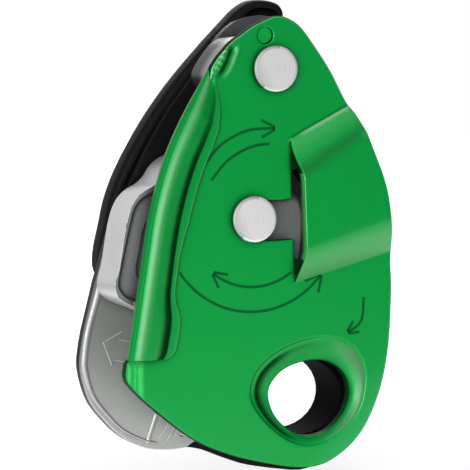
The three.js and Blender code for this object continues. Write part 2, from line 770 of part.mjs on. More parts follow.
// Axle of the cam and the handle: head, neck, flange that keeps the cam back, journal and end rivet
function axleRivet() {
  const headBack = plateFront - headLift;
  const headFront = headBack - headThickness;
  const flangeFront = gapFront + slideGap + camCheek / 2 - axleFlangeThickness;
  const tail = wellFloor + washerThickness + 2 * bushFit;
  return turned(axle, [
    [0, headFront], [headRadius - 2 * headDome, headFront], [headRadius, headFront + headDome],
    [headRadius, headBack], [neckRadius, headBack], [neckRadius, flangeFront],
    [axleFlange, flangeFront], [axleFlange, flangeFront + axleFlangeThickness],
    [neckRadius, flangeFront + axleFlangeThickness], [neckRadius, tail], [tailRadius, tail],
    [tailRadius, tail + tailThickness / 2], [neckRadius, tail + tailThickness], [0, tail + tailThickness],
  ]);
}

function handleOutline() {
  return [
    ...smooth(handleOuterShares.map(at)),
    ...arc(axle, handleHub, ...handleHubAngles, roundSteps / 2),
    ...smooth(handleInnerShares.map(at)),
  ];
}

const screws = screwAngles.map((angle) => polar(axle, screwCircle, angle));
const coverFront = hubBack - coverThickness;
const catchCircle = handleHub + catchSpringRadius + catchWire + catchClearance;
const catchPlace = polar(axle, catchCircle, catchAngle);
const pocketFloor = handleBack - handleSkin;

function handle() {
  const outline = handleOutline();
  const inner = inset(outline, handleWall);
  const shell = join(
    slab(outline, handleFront, handleBack, handleEdge, 3, handleRound),
    rod(axle, handleHub - seatGap, handleBack - handleRound, hubBack, roundSteps),
  );
  const pocket = cut(
    slab(inner, handleFront - overrun, pocketFloor),
    rod(axle, handleHub - handleWall / 2, wellFloor - hubWeb, pocketFloor + overrun, roundSteps),
    rod(axle, hubBoss, handleFront - overrun, pocketFloor + overrun, roundSteps),
    ...handleRibShares.map(([from, to]) => bar(
      at(from), at(to), handleRibWidth, handleFront + handleRibDrop, pocketFloor + overrun,
    )),
  );
  const well = cut(
    rod(axle, coverRadius + seatGap, wellFloor, hubBack + overrun, roundSteps),
    ...screws.map((place) => rod(place, screwPost, wellFloor - overrun, coverFront)),
  );
  return cut(
    shell, pocket, well,
    rod(axle, boreRadius, handleFront - overrun, hubBack + overrun, roundSteps),
    ...screws.map((place) => rod(place, screwRadius + bushFit, wellFloor, hubBack)),
    rod(catchPlace, catchPinRadius + bushFit, pocketFloor - overrun, pocketFloor + handleSkin / 2),
  );
}

function hubCover() {
  const edge = coverThickness / 3;
  const disc = turned(axle, [
    [0, coverFront], [coverRadius, coverFront], [coverRadius, hubBack - edge],
    [coverRadius - edge, hubBack], [0, hubBack],
  ]);
  const span = [coverFront - overrun, hubBack + overrun];
  return cut(disc, ...screws.map((place) => rod(place, screwRadius + bushFit, ...span)));
}

const screwTip = wellFloor + seatGap;
const screwBack = hubBack + screwHeadDepth;
const screw = (place) => turned(place, [
  [0, screwTip], [screwRadius, screwTip], [screwRadius, hubBack], [screwHead, hubBack],
  [screwHead, hubBack + screwHeadDepth / 2], [screwHead / 2, screwBack], [0, screwBack],
], smallSteps);

// Panic catch: a small lever on its own pin, in the handle's pocket
const catchFront = handleFront + seatGap + bushFit;
const catchBack = catchFront + catchThickness;

function panicCatch() {
  const half = new THREE.Vector2(0, catchLength / 2 - catchWidth / 2);
  const ends = [catchPlace.clone().add(half), catchPlace.clone().sub(half)];
  const body = join(
    bar(...ends, catchWidth, catchFront, catchBack),
    ...ends.map((end) => rod(end, catchWidth / 2, catchFront, catchBack)),
    rod(catchPlace, catchWidth / 2 + bushWall / 2, catchFront, catchBack),
  );
  const span = [catchFront - overrun, catchBack + overrun];
  return cut(body, rod(catchPlace, catchPinRadius + bushFit, ...span));
}

// Selector: shaft with a flange in the fixed plate, and a knob with a grip behind it
const knobFront = fixedBack + slideGap;
const knobBack = knobFront + knobDepth;
const shaftBack = knobBack - handleSkin;
const flangeSpan = [fixedFront + bushFit, fixedFront + selectorFlangeThickness];

const selectorPin = () => turned(selector, [
  [0, flangeSpan[0]], [selectorFlange, flangeSpan[0]], [selectorFlange, flangeSpan[1]],
  [selectorShaft, flangeSpan[1]], [selectorShaft, shaftBack], [0, shaftBack],
]);

const ballPlace = polar(selector, ballCircle, knobGripAngle);
const ballMiddle = fixedBack + bushFit + ballRadius;
const ballSpringStart = ballMiddle + ballRadius + ballSpringWire / 2 + bushFit;

function selectorKnob() {
  const edge = knobGrip / 4;
  const tips = [knobGripAngle, knobGripAngle + 180].map((angle) => (
    polar(selector, knobRadius - 2 * edge, angle)
  ));
  const discBack = knobBack - knobGripHeight;
  const disc = turned(selector, [
    [0, knobFront], [knobRadius, knobFront], [knobRadius, discBack - edge],
    [knobRadius - edge, discBack], [0, discBack],
  ]);
  const grip = bar(...tips, knobGrip, discBack - edge, knobBack);
  const pocketBack = ballSpringStart + ballSpringPitch * ballSpringTurns + ballSpringWire;
  return cut(
    join(disc, grip),
    rod(selector, selectorShaft + bushFit, knobFront - overrun, shaftBack + bushFit),
    rod(ballPlace, ballRadius + bushFit, knobFront - overrun, pocketBack),
  );
}

function ball() {
  const sphere = new THREE.SphereGeometry(ballRadius, smallSteps, smallSteps / 2);
  return solid(sphere.translate(ballPlace.x, ballMiddle, ballPlace.y));
}

const washer = (centre, front, outer) => ring(centre, bushInner, outer, front, front + washerThickness);

const camSpringLevel = camBack - camSpringDepth + springWire / 2 + bushFit;
const handleSpringLevel = wellFloor + springWire / 2 + bushFit;
const wound = [springRadius, springWire, springPitch];
const springs = {
  cam: spring(axle, ...wound, camSpringTurns, camSpringLevel, springAngle, springLeg),
  handle: spring(axle, ...wound, handleSpringTurns, handleSpringLevel, springAngle, springLeg),
  catch: spring(
    catchPlace, catchSpringRadius, catchWire, catchPitch, 1, catchBack + catchWire, springAngle, catchWire,
  ),
  detent: spring(
    ballPlace, ballRadius - ballSpringWire, ballSpringWire, ballSpringPitch, ballSpringTurns,
    ballSpringStart, 0, ballSpringLeg,
  ),
};

add("moving_side_plate", movingPlate(), "green");
add("pivot_bush", ring(pivot, bushInner, bushOuter, plateFront, gapFront), "bronze");
add("fixed_side_plate", fixedPlate(), "black");
add("eye_collar", eyeCollar(), "black");
add("friction_plate", frictionPlate(), "steel");
wearRivets.forEach((place, i) => {
  add(`wear_rivet_${i + 1}`, wearRivetBody(place), "steel");
});
add("friction_block", block(), "bright");
blockDowels.forEach((place, i) => {
  add(`block_dowel_${i + 1}`, rod(place, dowelRadius, dowelFront, fixedBack), "steel");
});
add("pivot_rivet", rivet(pivot, fixedBack), "bright");
const washerFront = plateFront - (headLift + washerThickness) / 2;
add("pivot_washer", washer(pivot, washerFront, headRadius - headDome), "steel");
add("axle", axleRivet(), "bright");
add("axle_washer", washer(axle, wellFloor + bushFit, tailRadius + bushWall), "steel");
add("handle_spacer", ring(axle, neckRadius + seatGap, hubBoss, fixedBack, handleFront), "bronze");
add("cam", cam(), "bright");
add("cam_bush", ring(axle, bushInner, bushOuter, camFront + camCheek + seatGap, camBack), "bronze");
add("cam_spring", springs.cam.body, "steel");
add("spring_anchor_pin", rod(anchor, anchorRadius, gapBack - anchorReach, fixedBack), "steel");
const drivePinSpan = [camBack - drivePinSeat, fixedBack + drivePinReach];
add("drive_pin", rod(drivePinPlace, drivePinRadius, ...drivePinSpan), "steel");
add("handle", handle(), "nylon");
add("handle_bush", ring(axle, bushInner, bushOuter, handleFront, wellFloor), "bronze");
add("handle_spring", springs.handle.body, "steel");
add("hub_cover", hubCover(), "nylon");
screws.forEach((place, i) => add(`cover_screw_${i + 1}`, screw(place), "steel"));
add("panic_catch", panicCatch(), "steel");
add("catch_pin", rod(catchPlace, catchPinRadius, catchFront, pocketFloor + handleSkin / 2), "steel");
add("catch_spring", springs.catch.body, "steel");
add("selector_shaft", selectorPin(), "steel");
add("selector_knob", selectorKnob(), "nylon");
add("detent_ball", ball(), "bright");
add("detent_spring", springs.detent.body, "steel");

Object.entries(springs).forEach(([name, { gap }]) => {
  console.log(`least gap between the turns of the ${name} spring: ${gap.toFixed(2)} mm`);
});

export default group;
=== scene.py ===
"""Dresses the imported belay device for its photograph. Lengths are in millimetres until a
mesh is finished, when it is scaled to metres."""

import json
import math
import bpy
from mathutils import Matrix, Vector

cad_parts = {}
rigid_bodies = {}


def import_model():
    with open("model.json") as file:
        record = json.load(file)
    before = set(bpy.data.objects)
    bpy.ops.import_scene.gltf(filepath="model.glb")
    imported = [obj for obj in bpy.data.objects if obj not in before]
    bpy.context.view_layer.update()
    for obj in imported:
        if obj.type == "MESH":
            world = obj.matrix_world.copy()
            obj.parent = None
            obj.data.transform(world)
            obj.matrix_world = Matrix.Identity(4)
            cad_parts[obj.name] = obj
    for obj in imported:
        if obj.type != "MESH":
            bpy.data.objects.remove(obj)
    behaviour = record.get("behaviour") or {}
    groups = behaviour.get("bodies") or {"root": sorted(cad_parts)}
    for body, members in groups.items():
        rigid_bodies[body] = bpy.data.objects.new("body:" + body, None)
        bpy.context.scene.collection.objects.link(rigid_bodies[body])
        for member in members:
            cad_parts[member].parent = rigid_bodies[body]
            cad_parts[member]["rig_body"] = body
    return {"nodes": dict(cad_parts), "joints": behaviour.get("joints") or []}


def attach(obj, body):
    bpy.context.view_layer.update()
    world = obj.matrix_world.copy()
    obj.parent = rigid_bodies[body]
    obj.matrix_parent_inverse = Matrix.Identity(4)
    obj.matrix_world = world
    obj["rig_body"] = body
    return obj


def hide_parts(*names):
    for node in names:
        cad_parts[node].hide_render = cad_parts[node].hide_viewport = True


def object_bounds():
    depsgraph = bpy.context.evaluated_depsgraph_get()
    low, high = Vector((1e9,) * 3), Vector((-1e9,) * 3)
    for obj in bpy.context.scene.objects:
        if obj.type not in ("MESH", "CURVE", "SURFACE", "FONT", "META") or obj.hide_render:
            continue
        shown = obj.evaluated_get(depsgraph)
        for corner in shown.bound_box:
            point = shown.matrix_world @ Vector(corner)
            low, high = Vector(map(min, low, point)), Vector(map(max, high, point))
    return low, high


bl_info = {
    "name": "Assisted Braking Belay Device",
    "version": (1, 0, 0),
    "blender": (4, 5, 0),
    "location": "3D View > Sidebar > Belay Device",
    "description": "Shapes and finishes of a belay device around its packed frame",
    "category": "Add Mesh",
}

import bmesh
import bpy
from bpy.props import FloatProperty, FloatVectorProperty, PointerProperty
from bpy.types import Operator, Panel, PropertyGroup
from mathutils import Matrix, Vector

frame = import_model()
cad_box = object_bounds()

MM = 0.001
JOINTS = {joint["name"]: Vector(joint["pos_m"]) / MM for joint in frame["joints"]}
PIVOT = JOINTS["moving_plate_swing"]
AXLE = JOINTS["cam_turn"]

# Levels across the device, from the green plate's front towards the back
PLATE_FRONT = -9.5
PLATE_BACK = -7.0
CHEEK_FACE = -6.7
WEAR_FACE = 7.0

# How far the photograph's view shifts a point sideways for each millimetre of depth
VIEW_SHIFT = 0.36

# How far apart points lie on outlines, on drawn lines and on the cam's rims, how far lines
# and ridges reach into the face they stand on, and the angle from which an edge is sharp
OUTLINE_STEP, LINE_STEP, RIM_STEP = 1.0, 0.8, 0.7
SUNK = 0.1
EDGE_ANGLE = 40

# The friction plate's rolled lip, along its outer edge from the top
WEAR_LIP = [
    (-42.0, 30.6), (-43.6, 23.9), (-46.0, 15.1), (-46.9, 9.2), (-46.9, 6.6), (-46.0, 2.9),
    (-44.5, -0.5), (-41.3, -4.4), (-38.6, -7.0), (-35.4, -8.9), (-32.3, -10.1),
    (-30.0, -10.7),
]
# Its other marks: points, width and height of a band, a rib, two lines and a plain arrow
WEAR_RIDGES = [
    ([(-25.6, -7.5), (-24.0, -7.9), (-22.0, -8.4)], 2.4, 0.05),
    ([(-30.1, -4.2), (-31.2, -7.4), (-32.3, -10.5)], 1.05, 0.35),
    ([(-27.2, -6.2), (-29.1, -9.0), (-31.4, -10.9)], 0.28, 0.16),
    ([(-25.9, -7.2), (-27.3, -9.6), (-28.5, -10.9)], 0.28, 0.16),
    ([(-38.9, 12.9), (-38.2, 14.6), (-42.6, 12.3), (-40.6, 7.2), (-40.0, 8.3)], 0.3, 0.18),
    ([(-40.0, 8.3), (-36.4, 7.6), (-34.5, 7.5)], 0.3, 0.18),
    ([(-38.9, 12.9), (-36.4, 12.3), (-34.5, 12.1)], 0.3, 0.18),
]

# The cam: the rim of its cheek, seen through the slot, the edge of its tail's recess, where
# its hub ends at the left, and the depth of the tail's floor
CHEEK_RIM = [
    (-3.4, 46.1), (-2.42, 45.37), (-1.46, 44.2), (-0.62, 41.74), (-0.38, 39.29),
    (-0.62, 35.95), (-1.09, 32.39), (-1.81, 29.51), (-2.5, 27.6),
]
RECESS_EDGE = [
    (-31.6, 50.3), (-33.5, 48.2), (-35.4, 46.4), (-38.4, 44.3), (-39.9, 42.0),
    (-40.5, 39.8), (-41.4, 36.1), (-43.3, 26.8), (-43.0, 24.8), (-41.6, 23.1),
    (-39.1, 22.1), (-36.0, 21.2),
]
HUB_LEFT = -27.0
TAIL_FLOOR = -6.3

# The green plate's outline (x, z): right side from the top, bottom, then the left edge
PLATE_RIGHT = [
    (-8.3, 84.7), (-6.4, 84.75), (-4.5, 84.1), (-2.8, 83.1), (-1.4, 81.8), (0.5, 79.4),
    (4.91, 73.1), (8.82, 66.0), (10.85, 63.4), (12.4, 60.5),
    (14.9, 55.2), (16.2, 52.4), (17.7, 49.0), (19.05, 44.4), (19.91, 37.6), (19.78, 30.0),
    (19.97, 23.4), (19.28, 11.0), (17.01, 0.6), (12.47, -8.4), (5.42, -14.1),
    (-1.32, -15.5), (-10.27, -14.2), (-19.28, -11.8), (-27.4, -8.1),
    (-35.72, -1.8), (-41.2, 3.0), (-42.9, 5.6),
]
PLATE_LEFT = [
    (-42.4, 10.0), (-41.2, 17.6), (-39.12, 31.1), (-37.61, 40.5), (-35.6, 48.6),
    (-32.89, 56.3), (-28.79, 64.4), (-23.81, 72.0), (-21.1, 76.0),
    (-18.4, 78.9), (-16.2, 80.5), (-13.29, 82.5), (-10.1, 84.0),
]
# Its edge drops by this much, in rings of (width, drop) from the outside
EDGE_DROP = 0.3
EDGE_RINGS = ((0.1, 0.15), (0.13, 0.11), (0.22, 0.04))
STOP_HOLE = Vector((-10.3, 80.4))
STOP_RADIUS = 1.75
STUD_RINGS = ((0.06, 0.06), (0.08, 0.03))
STUD_WALL = 1.4
PIVOT_HOLE_RADIUS = 4.6
SLOT_HALF_WIDTH = 4.4

# The raised bridge: its cut edge at the left, the right ends of its fold lines, the shares
# of a ramp at which it is cut for them, the share at which a ramp has its full height, the
# cut's width, and the heights between which the cut edge is free
BRIDGE_CUT = (Vector((-4.47, 57.8)), Vector((-3.28, 25.7)))
BRIDGE_RIGHT = (Vector((22.68, 72.2)), Vector((22.68, 33.2)))
FOLD_SHARES = (
    -0.07, -0.02, 0.0, 0.04, 0.08, 0.12, 0.2, 0.3, 0.42, 0.56, 0.7, 0.82, 0.92, 1.0, 1.08,
    1.15, 1.22, 1.3,
)
RAMP_TOP = 1.22
CUT_GAP = 0.05
FREE_EDGE_FOOT, FREE_EDGE_HEAD = 31.0, 50.0

# The dished eye: radius by angle in degrees of its rim and of its opening, and how far the
# front drops at shares of the way between them, crisply by a table or softly by one depth
EYE_RIM = [
    (-160, 11.74), (-139, 10.6), (-117, 10.3), (-87, 10.5), (-57, 10.7), (-41, 11.1),
    (-23, 12.0), (5, 13.4), (24, 14.7), (40, 15.3), (59, 14.9), (77, 13.8), (95, 12.9),
    (115, 12.6), (137, 13.1), (156, 13.8), (176, 13.7),
]
EYE_OPENING = [
    (-165, 8.3), (-131, 8.0), (-101, 8.4), (-80, 8.8), (-58, 9.2), (-34, 9.6), (-15, 10.15),
    (3, 10.7), (19, 10.8), (32, 10.5), (49, 9.75), (71, 8.65), (96, 7.9), (117, 7.9),
    (147, 8.4), (169, 8.8),
]
EYE_PROFILE = [
    (0.04, 0.42), (0.08, 0.47), (0.14, 0.52), (0.19, 0.62), (0.25, 0.85), (0.33, 1.18),
    (0.43, 1.52), (0.55, 1.82), (0.67, 2.03), (0.79, 2.14), (0.89, 2.2), (0.96, 2.29),
    (1.0, 2.46),
]
SOFT_DROP = 2.1

# The hem ends at these heights, its corner has this radius, and its first rows stand this
# high above its foot
HEM_FOOT = 9.6
HEM_HEAD = 73.6
HEM_CORNER = 2.6
HEM_FIRST_ROWS = (0.05, 0.15, 0.35, 0.7, 1.1, 1.6, 2.2, 2.9)
# The plate's corner below the hem is rolled back: from where, as far as where, and how far
CORNER_LEFT, CORNER_RIGHT = -43.1, -37.5
CORNER_ROLL = 2.2

# The dimple beside the hem's head: the line of its floor, and its half width
DIMPLE = [(-17.7, 78.6), (-18.0, 77.2), (-19.1, 74.4), (-20.2, 72.5), (-21.6, 70.4)]
DIMPLE_WIDTH = 0.95

# The hem along its run: height, share of the bead's radius, widths to the tab's edge and to
# the foot of the bead's flank. The setting of the hem's width is the tab's at height 60
HEM_RUN = [
    (0.0, 1.0, 10.8, 8.7), (17.0, 1.0, 10.8, 8.7), (20.0, 1.0, 10.6, 8.5),
    (21.5, 1.0, 10.0, 8.1), (23.1, 1.0, 9.1, 7.7), (25.5, 1.0, 8.5, 7.3),
    (33.0, 1.0, 8.3, 7.1), (41.6, 1.0, 9.3, 7.2), (60.0, 1.0, 9.4, 7.2),
    (64.5, 0.93, 8.6, 6.7), (67.7, 0.75, 6.8, 5.3), (69.2, 0.64, 5.4, 4.3),
    (71.0, 0.5, 3.2, 2.7), (72.2, 0.36, 2.2, 1.9), (73.0, 0.27, 1.6, 1.4),
    (73.6, 0.18, 1.0, 0.9),
]
TAB_WIDTH = 9.4

# The bead's right flank, from the tab up to the crest: shares of its run and of its rise
HEM_FLANK = [
    (0.985, 0.012), (0.95, 0.05), (0.88, 0.15), (0.77, 0.32), (0.66, 0.49), (0.54, 0.65),
    (0.42, 0.79), (0.28, 0.91), (0.14, 0.98),
]
# Painted shade on the flank's foot, the crease and the bead's crest, and painted
# highlight on the tab's rim and the crest, by the number of the section's point
HEM_SHADE = {
    8: 0.15, 9: 0.7, 10: 0.95, 11: 1.0, 12: 1.0, 13: 0.9, 14: 0.5, 19: 0.15, 20: 0.35,
    21: 0.35, 22: 0.2, 24: 0.6,
}
HEM_LIGHT = {4: 0.3, 5: 0.9, 6: 0.6, 19: 0.2, 20: 0.5, 21: 0.5, 22: 0.25}
# The bead's points by angle, close together at its crease
CREASE_TURN = 143
CREASED_BEAD = [
    92, 104, 116, 127, 136, 140, 143, 146, 152, 165, 180, 195, 210, 225, 240, 255, 270,
]


# Curves and meshes --------------------


def ease(share):
    """A smooth step from 0 to 1, level beyond both ends."""
    share = min(max(share, 0.0), 1.0)
    return share * share * (3 - 2 * share)


def hill(value, low, high, rise, fall):
    """1 between two places, with a smooth step of its own length inside each."""
    return ease((value - low) / rise) * ease((high - value) / fall)


def peak(value, middle, width):
    """1 at a place, and smoothly down to 0 at a width on both sides."""
    return ease(1 - abs(value - middle) / width)


def spline(before, start, end, after, t):
    """The place at a share of the way from start to end, on a smooth curve."""
    return 0.5 * (
        2 * start
        + (end - before) * t
        + (2 * before - 5 * start + 4 * end - after) * t**2
        + (3 * start - 3 * end + after - before) * t**3
    )


def fours(items):
    """Every four neighbours of a list."""
    return zip(items, items[1:], items[2:], items[3:])


def curve_through(points, step, closed=False):
    """Points about one step apart on a smooth curve through the given points."""
    points = [Vector(point) for point in points]
    first, last = (points[-1:], points[:2]) if closed else (points[:1], points[-1:])
    made = []
    for before, start, end, after in fours(first + points + last):
        parts = max(1, round((end - start).length / step))
        made += [spline(before, start, end, after, part / parts) for part in range(parts)]
    return made if closed else made + last


def around(table, turn):
    """The radius of a smooth closed curve at an angle, from its table in degrees."""
    degrees = (math.degrees(turn) + 180) % 360 - 180
    rows = [(angle - 360, radius) for angle, radius in table[-2:]]
    rows += table + [(angle + 360, radius) for angle, radius in table[:2]]
    for (_, before), (low, start), (high, end), (_, after) in fours(rows):
        if low <= degrees <= high:
            return spline(before, start, end, after, (degrees - low) / (high - low))


def read_table(rows, place):
    """A table's values at a place in its first column, level beyond its ends."""
    for low, high in zip(rows, rows[1:]):
        if place <= high[0] or high is rows[-1]:
            part = min(max((place - low[0]) / (high[0] - low[0]), 0.0), 1.0)
            return [a + (b - a) * part for a, b in zip(low[1:], high[1:])]


def on_circle(centre, radius, turn):
    """The point of a circle at an angle."""
    return centre + radius * Vector((math.cos(turn), math.sin(turn)))


def round_points(centre, radius, count):
    """Points on a circle, or on a closed curve whose radius is a table by angle."""
    points = []
    for i in range(count):
        turn = 2 * math.pi * i / count
        reach = around(radius, turn) if isinstance(radius, list) else radius
        points.append(on_circle(centre, reach, turn))
    return points


def arc_points(centre, radius, start, end):
    """Points on an arc between two angles in degrees."""
    count = max(2, round(math.radians(abs(end - start)) * radius / LINE_STEP))
    turns = [math.radians(start + (end - start) * i / count) for i in range(count + 1)]
    return [on_circle(centre, radius, turn) for turn in turns]


def side_at(points, i):
    """The unit direction to the right of a run of points, at one of them."""
    before, after = points[max(i - 1, 0)], points[min(i + 1, len(points) - 1)]
    along = (after - before).normalized()
    return Vector((along.y, -along.x))


def spaced(low, high, step):
    """Places from low to high, one step apart."""
    return [low + step * i for i in range(int((high - low) / step) + 1)]


def wire_loop(bm, points, y):
    """A closed loop of edges through (x, z) points at one depth."""
    verts = [bm.verts.new((x, y, z)) for x, z in points]
    return [bm.edges.new(pair) for pair in zip(verts, verts[1:] + verts[:1])]


def grown(bm, edges):
    """Extrudes edges. Gives the new edges, and the new vertices as a set."""
    made = bmesh.ops.extrude_edge_only(bm, edges=edges)["geom"]
    fresh = {part for part in made if isinstance(part, bmesh.types.BMVert)}
    edges = [part for part in made if isinstance(part, bmesh.types.BMEdge)]
    return [edge for edge in edges if all(vert in fresh for vert in edge.verts)], fresh


def sweep(bm, rings):
    """A tube through rings of points, with both of its ends closed."""
    ring = [bm.verts.new(place) for place in rings[0]]
    edges = [bm.edges.new(pair) for pair in zip(ring, ring[1:] + ring[:1])]
    bmesh.ops.contextual_create(bm, geom=edges)
    for places in rings[1:]:
        edges, fresh = grown(bm, edges)
        ring = [
            next(e.other_vert(v) for e in v.link_edges if e.other_vert(v) in fresh)
            for v in ring
        ]
        for vert, place in zip(ring, places):
            vert.co = place
    bmesh.ops.contextual_create(bm, geom=edges)


def ring_at(point, side, section):
    """A section's places at a point of a run, from (distance in sides, depth) pairs."""
    return [Vector((point.x + side.x * u, y, point.y + side.y * u)) for u, y in section]


def strip(bm, points, width, section):
    """A strip along (x, z) points. Its width is one number or one for each point."""
    points = [Vector(point) for point in points]
    widths = width if isinstance(width, list) else [width] * len(points)
    sides = [side_at(points, i) * widths[i] / 2 for i in range(len(points))]
    sweep(bm, [ring_at(point, side, section) for point, side in zip(points, sides)])


def ridge(bm, points, width, height, level):
    """A low rounded ridge along (x, z) points, standing on a face at the given depth."""
    section = [
        (share, level - height * math.sqrt(1 - share**2))
        for share in (1.0, 0.92, 0.6, 0.0, -0.6, -0.92, -1.0)
    ]
    strip(bm, points, width, section + [(0.0, level + SUNK)])


def new_object(name, data):
    """An object of the given data, in the scene."""
    made = bpy.data.objects.new(name, data)
    bpy.context.scene.collection.objects.link(made)
    return made


def mesh_object(name, bm, material):
    """An object of a mesh, which is freed, with its material."""
    mesh = bpy.data.meshes.new(name)
    bm.to_mesh(mesh)
    bm.free()
    mesh.materials.append(bpy.data.materials[material])
    return new_object(name, mesh)


def finish_piece(name, bm, material, body, node, angle=EDGE_ANGLE):
    """Makes a piece of a mesh in millimetres, in its place, riding on its body."""
    bmesh.ops.scale(bm, verts=bm.verts, vec=(MM, MM, MM))
    bmesh.ops.recalc_face_normals(bm, faces=bm.faces)
    piece = mesh_object(name, bm, material)
    faces = piece.data.polygons
    faces.foreach_set("use_smooth", [True] * len(faces))
    piece.data.set_sharp_from_angle(angle=math.radians(angle))
    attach(piece, body)
    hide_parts(node)
    return piece


def finish_plate_piece(name, bm, material, angle):
    """Finishes a piece of the green plate."""
    return finish_piece(
        name, bm, material, "moving_plate", "moving_side_plate", angle
    )


def second_material(piece, material, test):
    """Gives a piece's faces that pass a test of their centre, in millimetres, and normal
    a second material."""
    piece.data.materials.append(bpy.data.materials[material])
    for face in piece.data.polygons:
        if test(face.center / MM, face.normal):
            face.material_index = 1


def dress_node(node, name, material, slot, rounding, segments=3):
    """A refined copy of a CAD node: merged, with its edges rounded, in the node's place."""
    source = frame["nodes"][node]
    bm = bmesh.new()
    bm.from_mesh(source.data)
    bmesh.ops.remove_doubles(bm, verts=bm.verts, dist=1e-6)
    bmesh.ops.dissolve_limit(
        bm, angle_limit=math.radians(1.0), verts=bm.verts, edges=bm.edges
    )
    bmesh.ops.scale(bm, verts=bm.verts, vec=(1 / MM,) * 3)
    piece = finish_piece(name, bm, material, source["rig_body"], node)
    bevel = piece.modifiers.new("rounded_edges", "BEVEL")
    bevel.width = rounding * MM
    bevel.segments = segments
    bevel.limit_method = "ANGLE"
    bevel.angle_limit = math.radians(EDGE_ANGLE)
    bevel.use_clamp_overlap = True
    bevel.miter_outer = "MITER_ARC"
    normals = piece.modifiers.new("weighted_normals", "WEIGHTED_NORMAL")
    normals.keep_sharp = False
    return piece


# Materials --------------------


def add(tree, kind, inputs=None, **settings):
    """Adds a shader node, with its settings and its sockets' values or links."""
    new = tree.nodes.new("ShaderNode" + kind)
    for key, value in settings.items():
        setattr(new, key, value)
    for key, value in (inputs or {}).items():
        if isinstance(value, bpy.types.NodeSocket):
            tree.links.new(value, new.inputs[key])
        else:
            new.inputs[key].default_value = value
    return new


def maths(tree, operation, *values):
    """The output of a Math node on the given numbers or sockets."""
    return add(tree, "Math", dict(enumerate(values)), operation=operation).outputs[0]


def vectors(tree, operation, *values):
    """The output of a Vector Math node: a number for a length or a dot product."""
    node = add(tree, "VectorMath", dict(enumerate(values)), operation=operation)
    return node.outputs["Value" if operation in ("LENGTH", "DOT_PRODUCT") else "Vector"]


def place_on(tree, title="Object"):
    """A texture coordinate's output."""
    return add(tree, "TexCoord").outputs[title]


def mix_colour(tree, share, first, second):
    """The colour between two colours, by a share that changes over the surface."""
    return add(tree, "Mix", {0: share, 6: first, 7: second}, data_type="RGBA").outputs[2]


def mix_number(tree, share, first, second):
    """The number between two numbers."""
    return add(tree, "Mix", {0: share, 2: first, 3: second}, data_type="FLOAT").outputs[0]


def span(tree, value, low, high, start=0.0, end=1.0, **settings):
    """The value brought from start..end to low..high."""
    inputs = {"Value": value, 1: start, 2: end, 3: low, 4: high}
    return add(tree, "MapRange", inputs, **settings).outputs[0]


def noise(tree, inputs, start=0.3, end=0.7, **settings):
    """A noise whose values from start to end fill the way from 0 to 1."""
    value = add(tree, "TexNoise", inputs, **settings).outputs[0]
    return span(tree, value, 0, 1, start, end)


def start_group(name, **inputs):
    """A new shader node group with its inputs, which are numbers or vectors."""
    tree = bpy.data.node_groups.new(name, "ShaderNodeTree")
    for title, default in inputs.items():
        kind = "NodeSocketVector" if isinstance(default, tuple) else "NodeSocketFloat"
        socket = tree.interface.new_socket(title, in_out="INPUT", socket_type=kind)
        socket.default_value = default
    return tree, tree.nodes.new("NodeGroupInput").outputs


def finish_group(tree, **outputs):
    """Gives a node group its outputs, which are all numbers."""
    for title in outputs:
        tree.interface.new_socket(title, in_out="OUTPUT", socket_type="NodeSocketFloat")
    leave = tree.nodes.new("NodeGroupOutput").inputs
    for title, value in outputs.items():
        tree.links.new(value, leave[title])


def brushing_group():
    """Fine streaks along x on every face, with slower clouds over them."""
    tree, entry = start_group("brushing", Along=25.0, Across=5000.0, Clouds=60.0)
    place = place_on(tree)
    across = entry["Across"]
    stretch = add(tree, "CombineXYZ", {0: entry["Along"], 1: across, 2: across})
    lined = vectors(tree, "MULTIPLY", place, stretch.outputs[0])
    streaks = noise(tree, {"Vector": lined, "Scale": 1.0, "Detail": 4.0, "Roughness": 0.7})
    clouds = noise(tree, {"Vector": place, "Scale": entry["Clouds"], "Detail": 2.0})
    finish_group(tree, Streaks=streaks, Cloud=clouds)


def turning_group():
    """Fine rings about an axis along y, as a lathe leaves them."""
    tree, entry = start_group("turning", Centre=(0, 0, 0), Rings=2600.0)
    away = vectors(tree, "SUBTRACT", place_on(tree), entry["Centre"])
    radius = vectors(tree, "LENGTH", vectors(tree, "MULTIPLY", away, (1, 0, 1)))
    along = maths(tree, "MULTIPLY", radius, entry["Rings"])
    rings = noise(tree, {"W": along, "Scale": 1.0, "Detail": 3.0}, noise_dimensions="1D")
    finish_group(tree, Rings=rings, Radius=radius)


def grain_group():
    """The fine grain of a blasted, cast or moulded surface, with slower stains."""
    tree, entry = start_group("grain", Fine=3000.0, Coarse=150.0)
    place = place_on(tree)
    grain = noise(tree, {"Vector": place, "Scale": entry["Fine"], "Detail": 3.0})
    slow = {"Vector": place, "Scale": entry["Coarse"], "Detail": 5.0}
    finish_group(tree, Grain=grain, Stain=noise(tree, slow, 0.35, 0.65))


def edge_group():
    """Where edges are rubbed bright, which also stands in for painted highlights on edges,
    and painted shade where ambient occlusion finds hollows.
    """
    tree, entry = start_group("edges", Width=0.0004, Depth=0.003)
    rounded = add(tree, "Bevel", {"Radius": entry["Width"]}, samples=6).outputs[0]
    facing = add(tree, "NewGeometry").outputs["Normal"]
    likeness = vectors(tree, "DOT_PRODUCT", rounded, facing)
    open_share = add(tree, "AmbientOcclusion", {"Distance": entry["Depth"]}, samples=8)
    # Bright convex edges: rubbed metal, and a painted edge highlight
    wear_and_highlight = span(tree, likeness, 1.0, 0.0, 0.8, 0.995)
    # Painted shade in hollows, from ambient occlusion
    hollow_shade = span(tree, open_share.outputs["AO"], 1.0, 0.0, 0.25, 0.9)
    finish_group(tree, Wear=wear_and_highlight, Hollow=hollow_shade)


def use_group(tree, group, **inputs):
    """A group's node in a material, with its own values."""
    node = tree.nodes.new("ShaderNodeGroup")
    node.node_tree = bpy.data.node_groups[group]
    for key, value in inputs.items():
        node.inputs[key].default_value = value
    return node.outputs


